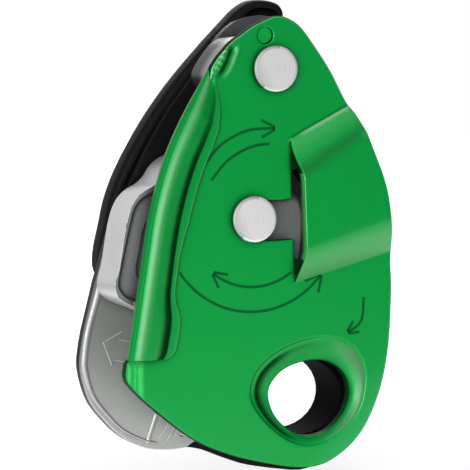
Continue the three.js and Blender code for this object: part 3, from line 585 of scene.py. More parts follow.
# The shared patterns: a group's name, its inputs and its fine and slow outputs
BRUSHED = ("brushing", {}, ("Streaks", "Cloud"))
CAST = ("grain", {"Fine": 2400.0, "Coarse": 120.0}, ("Grain", "Stain"))
MOULDED = ("grain", {"Fine": 3600.0, "Coarse": 90.0}, ("Grain", "Stain"))


def turned(centre):
    """The turned pattern about one axis, given in millimetres."""
    return ("turning", {"Centre": centre * MM}, ("Rings", "Radius"))


def tint(colour, share):
    """The colour at a share of its lightness, as a shader takes it."""
    return [min(channel * share, 1.0) for channel in colour[:3]] + [1.0]


def tones(colour, *shares):
    """The colour at some shares of its lightness."""
    return [tint(colour, share) for share in shares]


def start_material(name):
    """A new material's node tree and shader."""
    material = bpy.data.materials.new(name)
    material.use_nodes = True
    return material.node_tree, material.node_tree.nodes["Principled BSDF"]


def set_constants(shader, constants):
    """Gives a shader's sockets their constants, by name with underscores for spaces."""
    for key, value in constants.items():
        shader.inputs[key.replace("_", " ")].default_value = value


def surface(name, pattern, colours, rough, bump=(0.1, 0.0001), contrast=0.5, stain=0.2,
            bright_edge=None, wear_and_highlight=0.3, hollow_shade=0.6, fades=(), **constants):
    """A material whose roughness, relief and colour, from a first to a darker second one,
    follow one of the shared patterns. Each fade takes the colour towards another along a
    direction, from one place to another in millimetres; the fades here paint shade, sheen
    and light by place. The light and shade attributes and the mask of hollows paint
    highlights and shade into the colour."""
    tree, shader = start_material(name)
    group, inputs, (fine, slow) = pattern
    colour, darker = colours
    marks = use_group(tree, group, **inputs)

    def towards(mask, strength, first, second):
        return mix_colour(tree, maths(tree, "MULTIPLY", mask, strength), first, second)

    base = towards(marks[fine], contrast, colour, darker)
    base = towards(marks[slow], stain, base, darker)
    edges = use_group(tree, "edges")
    # Bright edges: rubbed metal, and a painted edge highlight
    if bright_edge:
        base = towards(edges["Wear"], wear_and_highlight, base, bright_edge)
    place = place_on(tree)
    # The fades paint shade, sheen and light by place
    for direction, start, end, other, strength in fades:
        along = vectors(tree, "DOT_PRODUCT", place, direction)
        share = span(tree, along, 0.0, strength, start * MM, end * MM)
        base = mix_colour(tree, share, base, other)
    # Painted highlight: the light attribute takes the colour towards a paler one
    light = add(tree, "Attribute", attribute_name="light").outputs["Fac"]
    pale = [channel * 0.8 + 0.2 for channel in colour[:3]] + [1.0]
    base = mix_colour(tree, light, base, pale)
    # Painted shade: the shade attribute and the mask of hollows take the colour towards a
    # dark one
    shade = add(tree, "Attribute", attribute_name="shade").outputs["Fac"]
    shade = maths(tree, "MAXIMUM", maths(tree, "MULTIPLY", edges["Hollow"], hollow_shade), shade)
    base = mix_colour(tree, shade, base, tint(colour, 0.1))
    tree.links.new(base, shader.inputs["Base Color"])
    tree.links.new(span(tree, marks[fine], *rough), shader.inputs["Roughness"])
    strength, depth = bump
    relief = {"Height": marks[fine], "Strength": strength, "Distance": depth}
    tree.links.new(add(tree, "Bump", relief).outputs[0], shader.inputs["Normal"])
    set_constants(shader, constants)
    # Painted shade also dims the coat's reflection
    if "Coat_Weight" in constants:
        clear = maths(tree, "SUBTRACT", 1.0, shade)
        coat = maths(tree, "MULTIPLY", clear, constants["Coat_Weight"])
        tree.links.new(coat, shader.inputs["Coat Weight"])


def make_materials(finish):
    """Every material of the device."""
    green, steel, satin, nylon = finish.green, finish.steel, finish.satin, finish.nylon
    black = (0.002, 0.002, 0.002, 1)
    # The green's fade is a painted sheen, paler towards the lower right
    surface("anodised_green", BRUSHED, tones(green, 1.0, 0.82), (0.48, 0.56),
            (0.06, 0.0002), contrast=0.35, stain=0.12, bright_edge=tint(green, 1.5), wear_and_highlight=0.5,
            hollow_shade=0.9, fades=[((0.8, 0, -0.6), 8, 20, tint(finish.sheen, 1.0), 0.75)],
            Metallic=0.5, Specular_IOR_Level=0.0, Coat_Weight=0.5, Coat_Roughness=0.28)
    # Painted shade: a darker copy of the green, for the plate's walls
    surface("green_cut_shade", BRUSHED, tones(green, 0.24, 0.16), (0.6, 0.7),
            bright_edge=tint(green, 0.4), Specular_IOR_Level=0.08)
    surface("mark_green", BRUSHED, tones(finish.marks, 1.0, 0.7), (0.5, 0.6), hollow_shade=0.0,
            Metallic=0.3, Specular_IOR_Level=0.1)
    # Painted shade: each turned head darker towards its left
    for name, centre, start in (("steel_pivot", PIVOT, -19.0), ("steel_axle", AXLE, -1.5)):
        surface(name, turned(centre), tones(steel, 1.0, 0.8), (0.42, 0.5), (0.22, 0.0001),
                contrast=0.3, stain=0.0, bright_edge=(0.95, 0.95, 0.95, 1),
                fades=[((-0.92, 0, -0.39), start, start + 3.6, tint(steel, 0.5), 0.6)],
                Metallic=0.6)
    # Painted shade: a darker copy of steel that fades to black further back, for the left
    # sides of the heads' edges, the cam's cheek rim and the line along its recess
    surface("steel_shade_rim", CAST, tones(steel, 0.6, 0.5), (0.5, 0.6), (0.05, 0.0001),
            contrast=0.2, hollow_shade=0.2, fades=[((0, 1, 0), -11.35, -10.7, black, 0.95)],
            Metallic=0.5)
    # Painted shade: the cam darker towards its top, the block darker towards the back
    top, inside = tint(steel, 0.42), tint(steel, 0.04)
    for name, bright_edge, fade in (
        ("steel_cast", (0.95, 0.95, 0.94, 1), ((0, 0, 1), 48.5, 55, top, 0.85)),
        ("steel_block", None, ((0, 1, 0), -5.5, 3.5, inside, 0.97)),
    ):
        surface(name, CAST, tones(steel, 0.95, 0.75), (0.36, 0.48), (0.06, 0.0001),
                contrast=0.2, stain=0.25, bright_edge=bright_edge, fades=[fade], Metallic=0.75)
    # The cam's darker cast recess; the same material is painted shade on its hub behind the
    # slot, and its fades paint it black towards the right and the top, as shadow
    surface("steel_recess_and_shade", CAST, tones(finish.recess, 1.0, 0.7), (0.5, 0.65),
            (0.25, 0.0002), contrast=0.4, stain=0.3, bright_edge=tint(steel, 0.8), wear_and_highlight=0.2,
            hollow_shade=1.0, fades=[((1, 0, 0), -1.0, -0.2, black, 0.97),
                               ((0.5, 0, 1), 42.3, 44.2, black, 0.9)],
            Metallic=0.5, Specular_IOR_Level=0.2)
    # Painted shade: the friction plate darker towards its top, under the cam
    for name, shares, fades in (
        ("steel_satin", (1.0, 0.75), [((0, 0, 1), -9, 26, tint(satin, 0.35), 0.95)]),
        ("steel_lip", (0.85, 0.7), []),
    ):
        surface(name, CAST, tones(satin, *shares), (0.42, 0.55), (0.05, 0.0001),
                contrast=0.12, bright_edge=tint(steel, 1.1), wear_and_highlight=0.6, fades=fades, Metallic=0.6)
    surface("steel_plain", BRUSHED, tones(steel, 0.85, 0.6), (0.25, 0.4),
            bright_edge=(0.85, 0.85, 0.85, 1), Metallic=1.0)
    # Painted light: the fixed plate lighter at its top
    surface("anodised_black", BRUSHED, tones(finish.black, 1.0, 0.6), (0.38, 0.5),
            (0.08, 0.0002), bright_edge=(0.03, 0.03, 0.032, 1), wear_and_highlight=0.5,
            fades=[((0, 0, 1), 78.8, 80.4, (0.055, 0.053, 0.057, 1), 1.0)],
            Specular_IOR_Level=0.15)
    surface("collar_black", MOULDED, tones(nylon, 0.3, 0.2), (0.75, 0.85), contrast=0.4,
            Specular_IOR_Level=0.03)
    surface("nylon_black", MOULDED, tones(nylon, 1.0, 0.7), (0.5, 0.62), (0.2, 0.0002),
            contrast=0.4, bright_edge=tint(nylon, 2.2), wear_and_highlight=0.35, hollow_shade=0.4,
            Specular_IOR_Level=0.09)
    surface("bush_bronze", CAST, ((0.5, 0.27, 0.1, 1), (0.3, 0.15, 0.05, 1)), (0.3, 0.45),
            Metallic=1.0)


# The green plate's relief and tones --------------------


def cut_x(z):
    """The x of the bridge's cut at a height."""
    top, foot = BRIDGE_CUT
    return top.x + (foot.x - top.x) * (top.y - z) / (top.y - foot.y)


def is_free_edge(x, z):
    """Whether a point of the flat sheet becomes the raised bridge's free edge."""
    return 0 < x - cut_x(z) < 0.6 and FREE_EDGE_FOOT < z < FREE_EDGE_HEAD


def ramp_ways(x, z, sizes):
    """How far a point is down from the bridge's upper fold and up from its lower one, in
    shares of a ramp."""
    (top, foot), (top_right, foot_right) = BRIDGE_CUT, BRIDGE_RIGHT
    upper = top.y + (top_right.y - top.y) * (x - top.x) / (top_right.x - top.x)
    lower = foot.y + (foot_right.y - foot.y) * (x - foot.x) / (foot_right.x - foot.x)
    ramp = sizes.bridge_ramp / MM
    return (upper - z) / ramp, (z - lower) / ramp


def bridge_lift(x, z, sizes):
    """How far the plate is pressed forward at a point, and how far it is drawn to the
    right."""
    if x <= cut_x(z):
        return 0.0, 0.0
    high, low = ramp_ways(x, z, sizes)
    high = min(max(high, 0.0), RAMP_TOP)
    low = min(max(low, 0.0), 1.0)
    lift = high**1.45 if high < 0.8 else 1.0 - 1.555 * (RAMP_TOP - high) ** 2
    lift *= 1 - (1 - low) ** 1.6
    away = max(0.0, 1.0 - (x - cut_x(z)) / 24.0)
    rise = lift * sizes.bridge_rise / MM
    return rise, lift**1.8 * away * sizes.bridge_draw / MM - VIEW_SHIFT * rise * (1 - away)


def fold_tone(x, z, sizes):
    """Painted shade and painted highlight along the bridge's folds: dark lines at the upper
    fold and low on its ramp, highlights on the crest and slope below it and on the lower
    ramp.
    """
    if x <= cut_x(z):
        return 0.0, 0.0
    high, low = ramp_ways(x, z, sizes)
    ends = hill(x, -3.0, 15.0, 3.0, 6.0)
    crest = hill(high, 0.0, 0.17, 0.05, 0.1)
    slope = 0.12 * hill(high, 0.0, 0.6, 0.1, 0.4)
    foot_light = 0.36 * hill(low, 0.0, 1.15, 0.05, 0.75)
    line = 0.55 * peak(high, -0.01, 0.06) * ease((15.0 - x) / 3.0)
    fold = 0.5 * peak(high, 0.95, 0.35) * ease((15.0 - x) / 5.0)
    return max(line, fold), max(crest * ends, slope, foot_light)


def dimple_place(x, z):
    """A point's place across the dimple, in half widths, and how near it is to its
    middle."""
    if not (DIMPLE[-1][1] - 1 < z < DIMPLE[0][1] + 1 and -25 < x < -14):
        return 9.0, 0.0
    best = None
    for start, end in zip(DIMPLE, DIMPLE[1:]):
        start, end = Vector(start), Vector(end)
        run = end - start
        part = min(max((Vector((x, z)) - start).dot(run) / run.length_squared, 0.0), 1.0)
        off = Vector((x, z)) - (start + run * part)
        if best is None or off.length < best.length:
            best, side = off, 1.0 if off.x * -run.y + off.y * run.x > 0 else -1.0
    ends = hill(z, DIMPLE[-1][1], DIMPLE[0][1], 2.5, 1.6)
    return best.length / DIMPLE_WIDTH * side, ends


def crinkle(x, z):
    """Small waves of pressed metal."""
    return 0.6 * math.sin(4.1 * z + 2.2 * x) + 0.4 * math.sin(7.3 * z - 3.1 * x)


def dimple_depth(x, z):
    """The dimple where the hem runs out at the top: a crinkled bulge beside a valley."""
    across, ends = dimple_place(x, z)
    valley = 0.5 * peak(across, 0.0, 1.0)
    raised = 0.22 * peak(across, 1.4, 0.7)
    bulge = peak(across, -1.4, 1.2) * (0.3 + 0.14 * crinkle(x, z))
    return (valley - raised - bulge) * ends


def dimple_tone(x, z):
    """Painted shade in the dimple's valley, painted glints on the bulge and a painted
    highlight on the ridge.
    """
    across, ends = dimple_place(x, z)
    glint = peak(across, -1.6, 0.9) * ease(crinkle(x, z) * 1.4)
    raised = 0.5 * peak(across, 1.4, 0.5)
    return 0.9 * ease(1.2 - abs(across + 0.1)) * ends, max(glint, raised) * ends


def corner_roll(x, z):
    """How far the lower left corner, under the hem, is rolled back and rippled."""
    down = ease((HEM_FOOT + 0.3 - z) / 1.2)
    if down <= 0:
        return 0.0
    off = x - CORNER_LEFT
    roll = CORNER_ROLL * (1 - ease(off / 5.2)) ** 1.3
    ripple = 0.1 * math.sin(off * 5.2) * (1 - ease(off / 5.6))
    return down * (roll + ripple)


def plate_relief(x, z, sizes):
    """The plate's relief and its sideways draw at a point."""
    lift, draw = bridge_lift(x, z, sizes)
    roll = corner_roll(x, z)
    return dimple_depth(x, z) + roll - lift, draw + VIEW_SHIFT * roll


def eye_share(x, z):
    """How far a point lies from the eye's rim towards its opening: below 0 outside."""
    turn = math.atan2(z, x)
    rim, opening = around(EYE_RIM, turn), around(EYE_OPENING, turn)
    return (rim - math.hypot(x, z)) / (rim - opening)


def is_dished(x, z):
    """Whether a point lies inside the eye's rim."""
    return eye_share(x, z) > 0.02


def eye_tone(x, z):
    """Painted shade on the dished eye's slope, most at its left, at its top and on the wall
    of its opening, and a painted highlight, toned down by some shade, at its right."""
    share = eye_share(x, z)
    turn = x / math.hypot(x, z)
    slope = hill(share, 0.16, 0.8, 0.12, 0.45)
    band = hill(share, 0.0, 0.85, 0.06, 0.6) * ease((turn - 0.3) / 0.6)
    lip = 0.92 * ease((share - 0.95) / 0.05)
    top = 0.2 * ease((z / math.hypot(x, z) - 0.3) / 0.5) * ease(share / 0.3)
    shade = max(0.95 * slope * ease((-turn - 0.15) / 0.6), 0.5 * band, top, lip)
    return shade, 0.68 * band


def lit_edge(x, z):
    """Where the plate's outer edge takes a painted highlight: everywhere but at the lower
    left.
    """
    inside = (
        math.hypot(x - PIVOT.x, z - PIVOT.z) < 6.0
        or x < cut_x(z) + 1.0 and 20 < z < 60
        or (Vector((x, z)) - STOP_HOLE).length < STOP_RADIUS + 1.0
    )
    return 0.0 if inside else ease((x + z * 0.45 - 2.0) / 8.0)


def plate_tone(x, edge, z, is_back, sizes):
    """The painted shade and painted highlight of a point of the sheet, before it is
    pressed. Edge goes from 0 on the flat to 1 at the end of the rounded edge."""
    if is_dished(x, z):
        return eye_tone(x, z)
    # Painted shade on the back and its walls, most under the bridge
    if is_back:
        under = hill(x, cut_x(z) - 1.0, 24.0, 1.0, 20.0)
        return 0.45 if is_free_edge(x, z) else 0.95 * max(ease(edge), under), 0.0
    if edge <= 0.01:
        pairs = zip(fold_tone(x, z, sizes), dimple_tone(x, z))
        return tuple(max(pair) for pair in pairs)
    if eye_share(x, z) > -0.3:
        return 0.8 * ease(edge) * ease(0.4 - x / math.hypot(x, z)), 0.0
    # Painted light and dark lines along the bridge's free edge
    if is_free_edge(x, z):
        return (0.7, 0.0) if 0.3 < edge < 0.9 else (0.0, 0.3)
    # Painted shade on the outer edge, with a painted highlight line inside it
    bright_edge = 0.85 * hill(edge, 0.0, 0.5, 0.1, 0.3) * lit_edge(x, z)
    return 0.95 * ease((edge - 0.1) / 0.5), bright_edge


# The green plate's pieces --------------------


def slot_points():
    """The hole of the slot for the axle and of the bridge's cut, in one loop."""
    top, foot = BRIDGE_CUT
    pivot, axle = PIVOT.xz, AXLE.xz
    reach = (axle - pivot).length
    half_gap = CUT_GAP / 2

    def arc(radius):
        turn = math.atan2(axle.y - pivot.y, axle.x - pivot.x)
        points = []
        while True:
            point = on_circle(pivot, radius, turn)
            if point.x > cut_x(point.y) - 0.3:
                return points
            points.append(point)
            turn += LINE_STEP / radius

    def meet(radius):
        z = pivot.y - radius
        for _ in range(4):
            z = pivot.y - math.sqrt(radius**2 - (cut_x(z) - half_gap - pivot.x) ** 2)
        return Vector((cut_x(z) - half_gap, z))

    inner, outer = reach - SLOT_HALF_WIDTH, reach + SLOT_HALF_WIDTH
    outward = (axle - pivot).normalized()
    start = math.atan2(-outward.y, -outward.x)
    turns = [start + math.pi * k / 18 for k in range(1, 18)]
    cap = [on_circle(axle, SLOT_HALF_WIDTH, turn) for turn in turns]
    if cap[8].x > axle.x:
        cap = [2 * axle - point for point in reversed(cap)]
    cut = [(top.x + half_gap, top.y), (foot.x + half_gap, foot.y)]
    cut = curve_through(cut, OUTLINE_STEP)[::-1]
    return [meet(inner)] + arc(inner)[::-1] + cap + arc(outer) + [meet(outer)] + cut


def plate_outline(sizes):
    """The plate's outline, drawn in where the hem's bead stands in front of its edge."""
    points = curve_through(PLATE_RIGHT + PLATE_LEFT, OUTLINE_STEP, closed=True)
    bead = sizes.bead_radius / MM
    drawn = []
    for point, after in zip(points, points[1:] + points[:1]):
        along = (after - point).normalized()
        inward = Vector((along.y, -along.x))
        held = hill(point.y, HEM_FOOT, HEM_HEAD, 1.0, 2.5)
        radius = hem_size(point.y, bead, 1.0)[0]
        on_left = point.x < -12.0
        drawn.append(point + inward * radius * 0.9 * held if on_left else point)
    return drawn


def flat_sheet(bm, sizes):
    """The plate's flat front with its holes and its rounded edges."""
    y = PLATE_FRONT + EDGE_DROP
    loops = (
        plate_outline(sizes),
        slot_points(),
        round_points(Vector((0, 0)), EYE_RIM, 96),
        round_points(PIVOT.xz, PIVOT_HOLE_RADIUS, 64),
        round_points(STOP_HOLE, STOP_RADIUS, 40),
    )
    edges = [edge for loop in loops for edge in wire_loop(bm, loop, y)]
    bmesh.ops.triangle_fill(bm, edges=edges, normal=(0, -1, 0), use_beauty=True)
    bmesh.ops.recalc_face_normals(bm, faces=bm.faces)
    if sum(face.normal.y * face.calc_area() for face in bm.faces) > 0:
        bmesh.ops.reverse_faces(bm, faces=bm.faces)
    flat = bm.faces[:]
    for thickness, depth in EDGE_RINGS:
        bmesh.ops.inset_region(
            bm, faces=flat, use_boundary=True, use_even_offset=False,
            thickness=thickness, depth=depth,
        )


def cut_grid(bm, places, normal):
    """Cuts the whole mesh by parallel planes at the given places along their normal."""
    for place in places:
        geom = bm.verts[:] + bm.edges[:] + bm.faces[:]
        bmesh.ops.bisect_plane(
            bm, geom=geom, dist=1e-5, plane_co=Vector(normal) * place, plane_no=normal
        )


def refine_sheet(bm):
    """Cuts the sheet to a grid, finer at the corner and the dimple, and frees its flat
    faces of the slanted edges of the first filling."""
    fine_x = spaced(-43.2, -38.0, 0.4) + spaced(-37.1, -25.0, 0.9)
    fine_x += spaced(-24.5, -15.5, 0.4) + spaced(-15.0, 20.5, 0.9)
    fine_z = spaced(-15.6, 24.0, 1.1) + spaced(25.0, 68.5, 0.8)
    fine_z += spaced(69.2, 79.7, 0.35) + spaced(80.2, 85.0, 0.6)
    cut_grid(bm, fine_x, (1, 0, 0))
    cut_grid(bm, fine_z, (0, 0, 1))
    level = PLATE_FRONT + 1e-4
    slanted = []
    for edge in bm.edges:
        run = edge.verts[0].co - edge.verts[1].co
        corners = [vert for face in edge.link_faces for vert in face.verts]
        is_flat = len(edge.link_faces) == 2 and all(vert.co.y < level for vert in corners)
        if is_flat and abs(run.x) > 1e-4 and abs(run.z) > 1e-4:
            slanted.append(edge)
    bmesh.ops.dissolve_edges(bm, edges=slanted, use_verts=False)


def fold_cuts(bm, sizes):
    """Cuts the bridge's faces along both ramps, so that their folds come out crisp."""
    left = BRIDGE_CUT[0].x - 0.5
    for corner, far, way in zip(BRIDGE_CUT, BRIDGE_RIGHT, (-1, 1)):
        along = (far - corner).normalized()
        normal = Vector((-along.y, 0, along.x))
        for share in FOLD_SHARES:
            faces = [face for face in bm.faces if face.calc_center_median().x > left]
            geom = {part for face in faces for part in (*face.verts, *face.edges, face)}
            z = corner.y + way * share * sizes.bridge_ramp / MM
            bmesh.ops.bisect_plane(
                bm, geom=list(geom), dist=1e-4, plane_co=(corner.x, 0, z), plane_no=normal
            )


def dish_eye(bm):
    """Draws the eye's rim down to its opening, crisply at the left and softly at the
    right."""
    rim = [
        edge for edge in bm.edges
        if len(edge.link_faces) == 1
        and all(abs(eye_share(vert.co.x, vert.co.z)) < 0.05 for vert in edge.verts)
    ]
    for share, drop in EYE_PROFILE:
        rim, verts = grown(bm, rim)
        for vert in verts:
            turn = math.atan2(vert.co.z, vert.co.x)
            outer, opening = around(EYE_RIM, turn), around(EYE_OPENING, turn)
            reach = outer + (opening - outer) * share
            soft = EDGE_DROP + SOFT_DROP * ease(share * 0.66)
            crisp = ease((0.25 - math.cos(turn + math.radians(20))) / 0.6)
            crisp = max(crisp, ease((share - 0.8) / 0.2))
            depth = PLATE_FRONT + soft + (drop - soft) * crisp
            vert.co = (reach * math.cos(turn), depth, reach * math.sin(turn))


def is_shaded_wall(centre, normal):
    """Whether a face is a wall of the plate, which takes the darker cut material as painted
    shade, and not of its eye, its rolled corner or the bridge's free edge."""
    x, _, z = centre
    on_free_edge = abs(x - cut_x(z)) < 2.5 and FREE_EDGE_FOOT < z < FREE_EDGE_HEAD
    on_roll = x < CORNER_RIGHT and z < HEM_FOOT + 0.5
    return abs(normal.y) < 0.5 and not (on_free_edge or on_roll or is_dished(x, z))


def make_plate(sizes):
    """The green plate: one sheet with its holes, slot, bridge and dished eye."""
    bm = bmesh.new()
    shade = bm.verts.layers.float.new("shade")
    light = bm.verts.layers.float.new("light")
    flat_sheet(bm, sizes)
    refine_sheet(bm)
    fold_cuts(bm, sizes)
    dish_eye(bm)
    made = bmesh.ops.extrude_face_region(bm, geom=bm.faces[:], use_keep_orig=True)["geom"]
    back = {part for part in made if isinstance(part, bmesh.types.BMVert)}
    for vert in bm.verts:
        x, y, z = vert.co
        drop = y - PLATE_FRONT
        # Paints the sheet's shade and highlight into its shade and light attributes
        tone = plate_tone(x, drop / EDGE_DROP, z, vert in back, sizes)
        vert[shade], vert[light] = tone
        if vert in back:
            y = PLATE_BACK + drop if is_dished(x, z) else PLATE_BACK - drop
        relief, draw = plate_relief(x, z, sizes)
        vert.co = (x + draw, y + relief, z)
    piece = finish_plate_piece("side_plate", bm, "anodised_green", 50)
    # Painted shade: the plate's walls take the darker copy of the green
    second_material(piece, "green_cut_shade", is_shaded_wall)


def hem_size(z, bead, tab):
    """The bead's radius, the tab's width and the flank's at a height of the left edge."""
    share, width, foot = read_table(HEM_RUN, z)
    scale = tab / TAB_WIDTH
    return bead * share, width * scale, foot * scale


def hem_section(bead, tab, foot, lift):
    """The hem's section (u from the plate's left edge, y): tab, flank, bead and back."""
    middle = PLATE_BACK - bead
    edge = max(tab, bead * 2.04)
    top = PLATE_FRONT - lift
    foot = min(foot, edge - 0.5)
    points = [
        (edge - 0.7, PLATE_BACK - 0.02),
        (edge - 0.7, PLATE_FRONT + 0.9),
        (edge - 0.25, PLATE_FRONT + 0.5),
        (edge, PLATE_FRONT + 0.2),
        (edge, top + 0.32),
        (edge - 0.09, top + 0.1),
        (edge - 0.2, top),
        (edge - 0.4, top),
        (min(foot + 0.2, edge - 0.42), top),
        (foot + 0.06, top),
    ]
    crest = middle - bead
    for across, rise in HEM_FLANK:
        points.append((bead + (foot - bead) * across, top + (crest - top) * rise))
    for turn in CREASED_BEAD:
        t = math.radians(turn)
        radius = bead - (0.02 if turn == CREASE_TURN else 0.0)
        points.append((bead + radius * math.cos(t), middle - radius * math.sin(t)))
    return points


def hem_rings(sizes):
    """The hem's sections, one for each point of the left edge."""
    bead, tab = sizes.bead_radius / MM, sizes.tab_width / MM
    edge = [(z, x) for x, z in PLATE_LEFT]
    heights = [HEM_FOOT + up for up in HEM_FIRST_ROWS]
    first = [Vector((*read_table(edge, z), z)) for z in heights]
    run = first + [
        point for point in curve_through(PLATE_LEFT, OUTLINE_STEP)
        if first[-1].y + 0.5 < point.y < HEM_HEAD
    ]
    rings = []
    for i, point in enumerate(run):
        level = ease((point.y - 12.0) / 8.0)
        inward = Vector((1.0, 0.0)).lerp(side_at(run, i), level).normalized()
        size, width, foot = hem_size(point.y, bead, tab)
        left = HEM_CORNER - (point.y - HEM_FOOT)
        if left > 0:
            drawn = HEM_CORNER - math.sqrt(max(HEM_CORNER**2 - left**2, 0.0))
            width, foot = width - drawn, foot - drawn * 0.4
        lift = 0.93 * ease((HEM_HEAD + 1.0 - point.y) / 8.0) + 0.04
        rings.append(ring_at(point, inward, hem_section(size, width, foot, lift)))
    return rings


def make_hem(sizes):
    """The rolled hem: its bead along the left edge, and the tab folded onto the plate."""
    rings = hem_rings(sizes)
    bm = bmesh.new()
    sweep(bm, rings)
    # Painted shade and highlight on the hem's points; the shade fades out towards its head
    for title, shares in (("shade", HEM_SHADE), ("light", HEM_LIGHT)):
        layer = bm.verts.layers.float.new(title)
        levels = {}
        for ring in rings:
            held = ease((HEM_HEAD + 2.0 - ring[0].z) / 26.0) if title == "shade" else 1.0
            for k, share in shares.items():
                levels[tuple(round(part, 3) for part in ring[k])] = share * held
        for vert in bm.verts:
            vert[layer] = levels.get(tuple(round(part, 3) for part in vert.co), 0.0)
    finish_plate_piece("plate_hem", bm, "anodised_green", 50)


def make_stop():
    """The stop stud: pressed through from the front, so it shows as a small cup."""
    bm = bmesh.new()
    bmesh.ops.create_circle(bm, cap_ends=True, segments=48, radius=STOP_RADIUS - 0.02)
    upright = Matrix.Rotation(math.radians(90), 3, "X")
    bmesh.ops.rotate(bm, verts=bm.verts, cent=(0, 0, 0), matrix=upright)
    face = bm.faces[:]
    for thickness, depth in STUD_RINGS:
        bmesh.ops.inset_region(bm, faces=face, use_even_offset=True, thickness=thickness,
                               depth=depth if face[0].normal.y < 0 else -depth)
    rim = [edge for edge in bm.edges if len(edge.link_faces) == 1]
    rim, low = grown(bm, rim)
    bmesh.ops.translate(bm, verts=list(low), vec=(0, STUD_WALL, 0))
    bmesh.ops.holes_fill(bm, edges=rim)
    tip = Matrix.Rotation(math.radians(-5), 3, "Z")
    bmesh.ops.rotate(bm, verts=bm.verts, cent=(0, 0, 0), matrix=tip)
    middle = (STOP_HOLE.x - 0.28, PLATE_FRONT + 0.3, STOP_HOLE.y + 0.12)
    bmesh.ops.translate(bm, verts=bm.verts, vec=middle)
    finish_plate_piece("stop_stud", bm, "anodised_green", 30)


def ribbon(bm, points, width):
    """A thin flat line along (x, z) points, just proud of the plate's front."""
    front, back = PLATE_FRONT - 0.02, PLATE_FRONT + SUNK
    strip(bm, points, width, [(1, back), (1, front), (-1, front), (-1, back)])


def arrow(bm, run, length, width):
    """A line with the two barbs of a plain arrow, of the given length, at its end."""
    ribbon(bm, run, width)
    tip = run[-1]
    way = (tip - run[-2]).normalized()
    side = Vector((-way.y, way.x))
    for hand in (1, -1):
        end = tip - way * length + side * length * 0.6 * hand
        start = tip + side * width * 0.45 * hand
        ribbon(bm, [start, start.lerp(end, 0.5), end], width)


def make_marks(sizes):
    """The engraved rope route: plain arcs and arrows."""
    width = sizes.mark_width / MM
    upper = [(-24.5, 52.0), (-20.5, 56.5), (-14.5, 59.5), (-8.0, 60.0)]
    upper = curve_through(upper, LINE_STEP)
    right = curve_through([(13.2, 22.2), (12.6, 16.9), (9.4, 14.4)], LINE_STEP)
    bm = bmesh.new()
    arrow(bm, arc_points(AXLE.xz, 20.5, -146, -38), 3.4, width)
    arrow(bm, arc_points(AXLE.xz, 15.0, -52, -128), 3.0, width)
    arrow(bm, upper, 3.2, width)
    ribbon(bm, [point + Vector((1.6, -3.4)) for point in upper[:-4]], width)
    arrow(bm, right, 2.4, width)
    finish_plate_piece("route_marks", bm, "mark_green", 30)


# The mechanism's pieces --------------------


def cam_is_darkened(centre, normal):
    """Whether a face of the cam takes the darker recess material: the floor of its cast
    recess, and, as painted shade, its hub behind the slot.
    """
    in_recess_or_hub = centre.x > HUB_LEFT or centre.y > TAIL_FLOOR
    return normal.y < -0.5 and centre.y < 0 and in_recess_or_hub


def is_left_side(centre, normal):
    """Whether a face is on the left of a turned head's edge."""
    is_edge = centre.y < PLATE_FRONT and normal.y > -0.97
    return is_edge and normal.x * 0.9 - normal.z * 0.4 < -0.1


def make_wear_marks():
    """The rolled lip and the low marks on the friction plate's face."""
    bm = bmesh.new()
    run = curve_through(WEAR_LIP, LINE_STEP)
    widths = [1.5 - 0.9 * ease(i / len(run) * 1.6 - 0.6) for i in range(len(run))]
    ridge(bm, run, widths, 0.5, WEAR_FACE)
    for points, width, height in WEAR_RIDGES:
        ridge(bm, points, width, height, WEAR_FACE)
    finish_piece("wear_marks", bm, "steel_lip", "frame", "friction_plate", 30)


def make_cheek_rim():
    """The raised rim of the cam's cheek, and a painted shade line along the edge of the
    tail's recess, both in the dark rim material."""
    bm = bmesh.new()
    ridge(bm, curve_through(CHEEK_RIM, RIM_STEP), 0.75, 0.16, CHEEK_FACE)
    ridge(bm, curve_through(RECESS_EDGE, RIM_STEP), 0.42, 0.04, CHEEK_FACE)
    finish_piece("cheek_rim", bm, "steel_shade_rim", "cam", "cam", 30)


# CAD node, its dressed copy, material, slot and rounding
BLACK_PIECES = [
    ("fixed_side_plate", "back_plate", "anodised_black", "black_anodised", 0.35),
    ("eye_collar", "collar", "collar_black", "black_nylon", 0.4),
    ("handle", "handle_shell", "nylon_black", "black_nylon", 0.5),
    ("hub_cover", "hub_disc", "nylon_black", "black_nylon", 0.3),
    ("selector_knob", "knob", "nylon_black", "black_nylon", 0.3),
    ("panic_catch", "catch_lever", "nylon_black", "black_nylon", 0.2),
]

# The nodes that keep their CAD shape, by material
INNER_PIECES = {
    "steel_plain": [
        "wear_rivet_1", "wear_rivet_2", "wear_rivet_3", "block_dowel_1", "block_dowel_2",
        "pivot_washer", "axle_washer", "cam_spring", "spring_anchor_pin", "drive_pin",
        "handle_spring", "cover_screw_1", "cover_screw_2", "cover_screw_3", "catch_pin",
        "catch_spring", "selector_shaft", "detent_ball", "detent_spring",
    ],
    "bush_bronze": ["pivot_bush", "cam_bush", "handle_bush"],
    "nylon_black": ["handle_spacer"],
}


# The stage --------------------

# What the camera looks at, the way to the lamps from the device, and the camera's lens
TARGET = Vector((-17.393, -9.5, 36.54))
LAMP_SIDE = (-0.74, -0.64, 0.2)
LENS, SENSOR = 243.7, 36


def aim(thing, place, way):
    """Puts a camera or a lamp in its place, facing along a direction."""
    thing.location = place
    thing.rotation_euler = way.to_track_quat("-Z", "Y").to_euler()


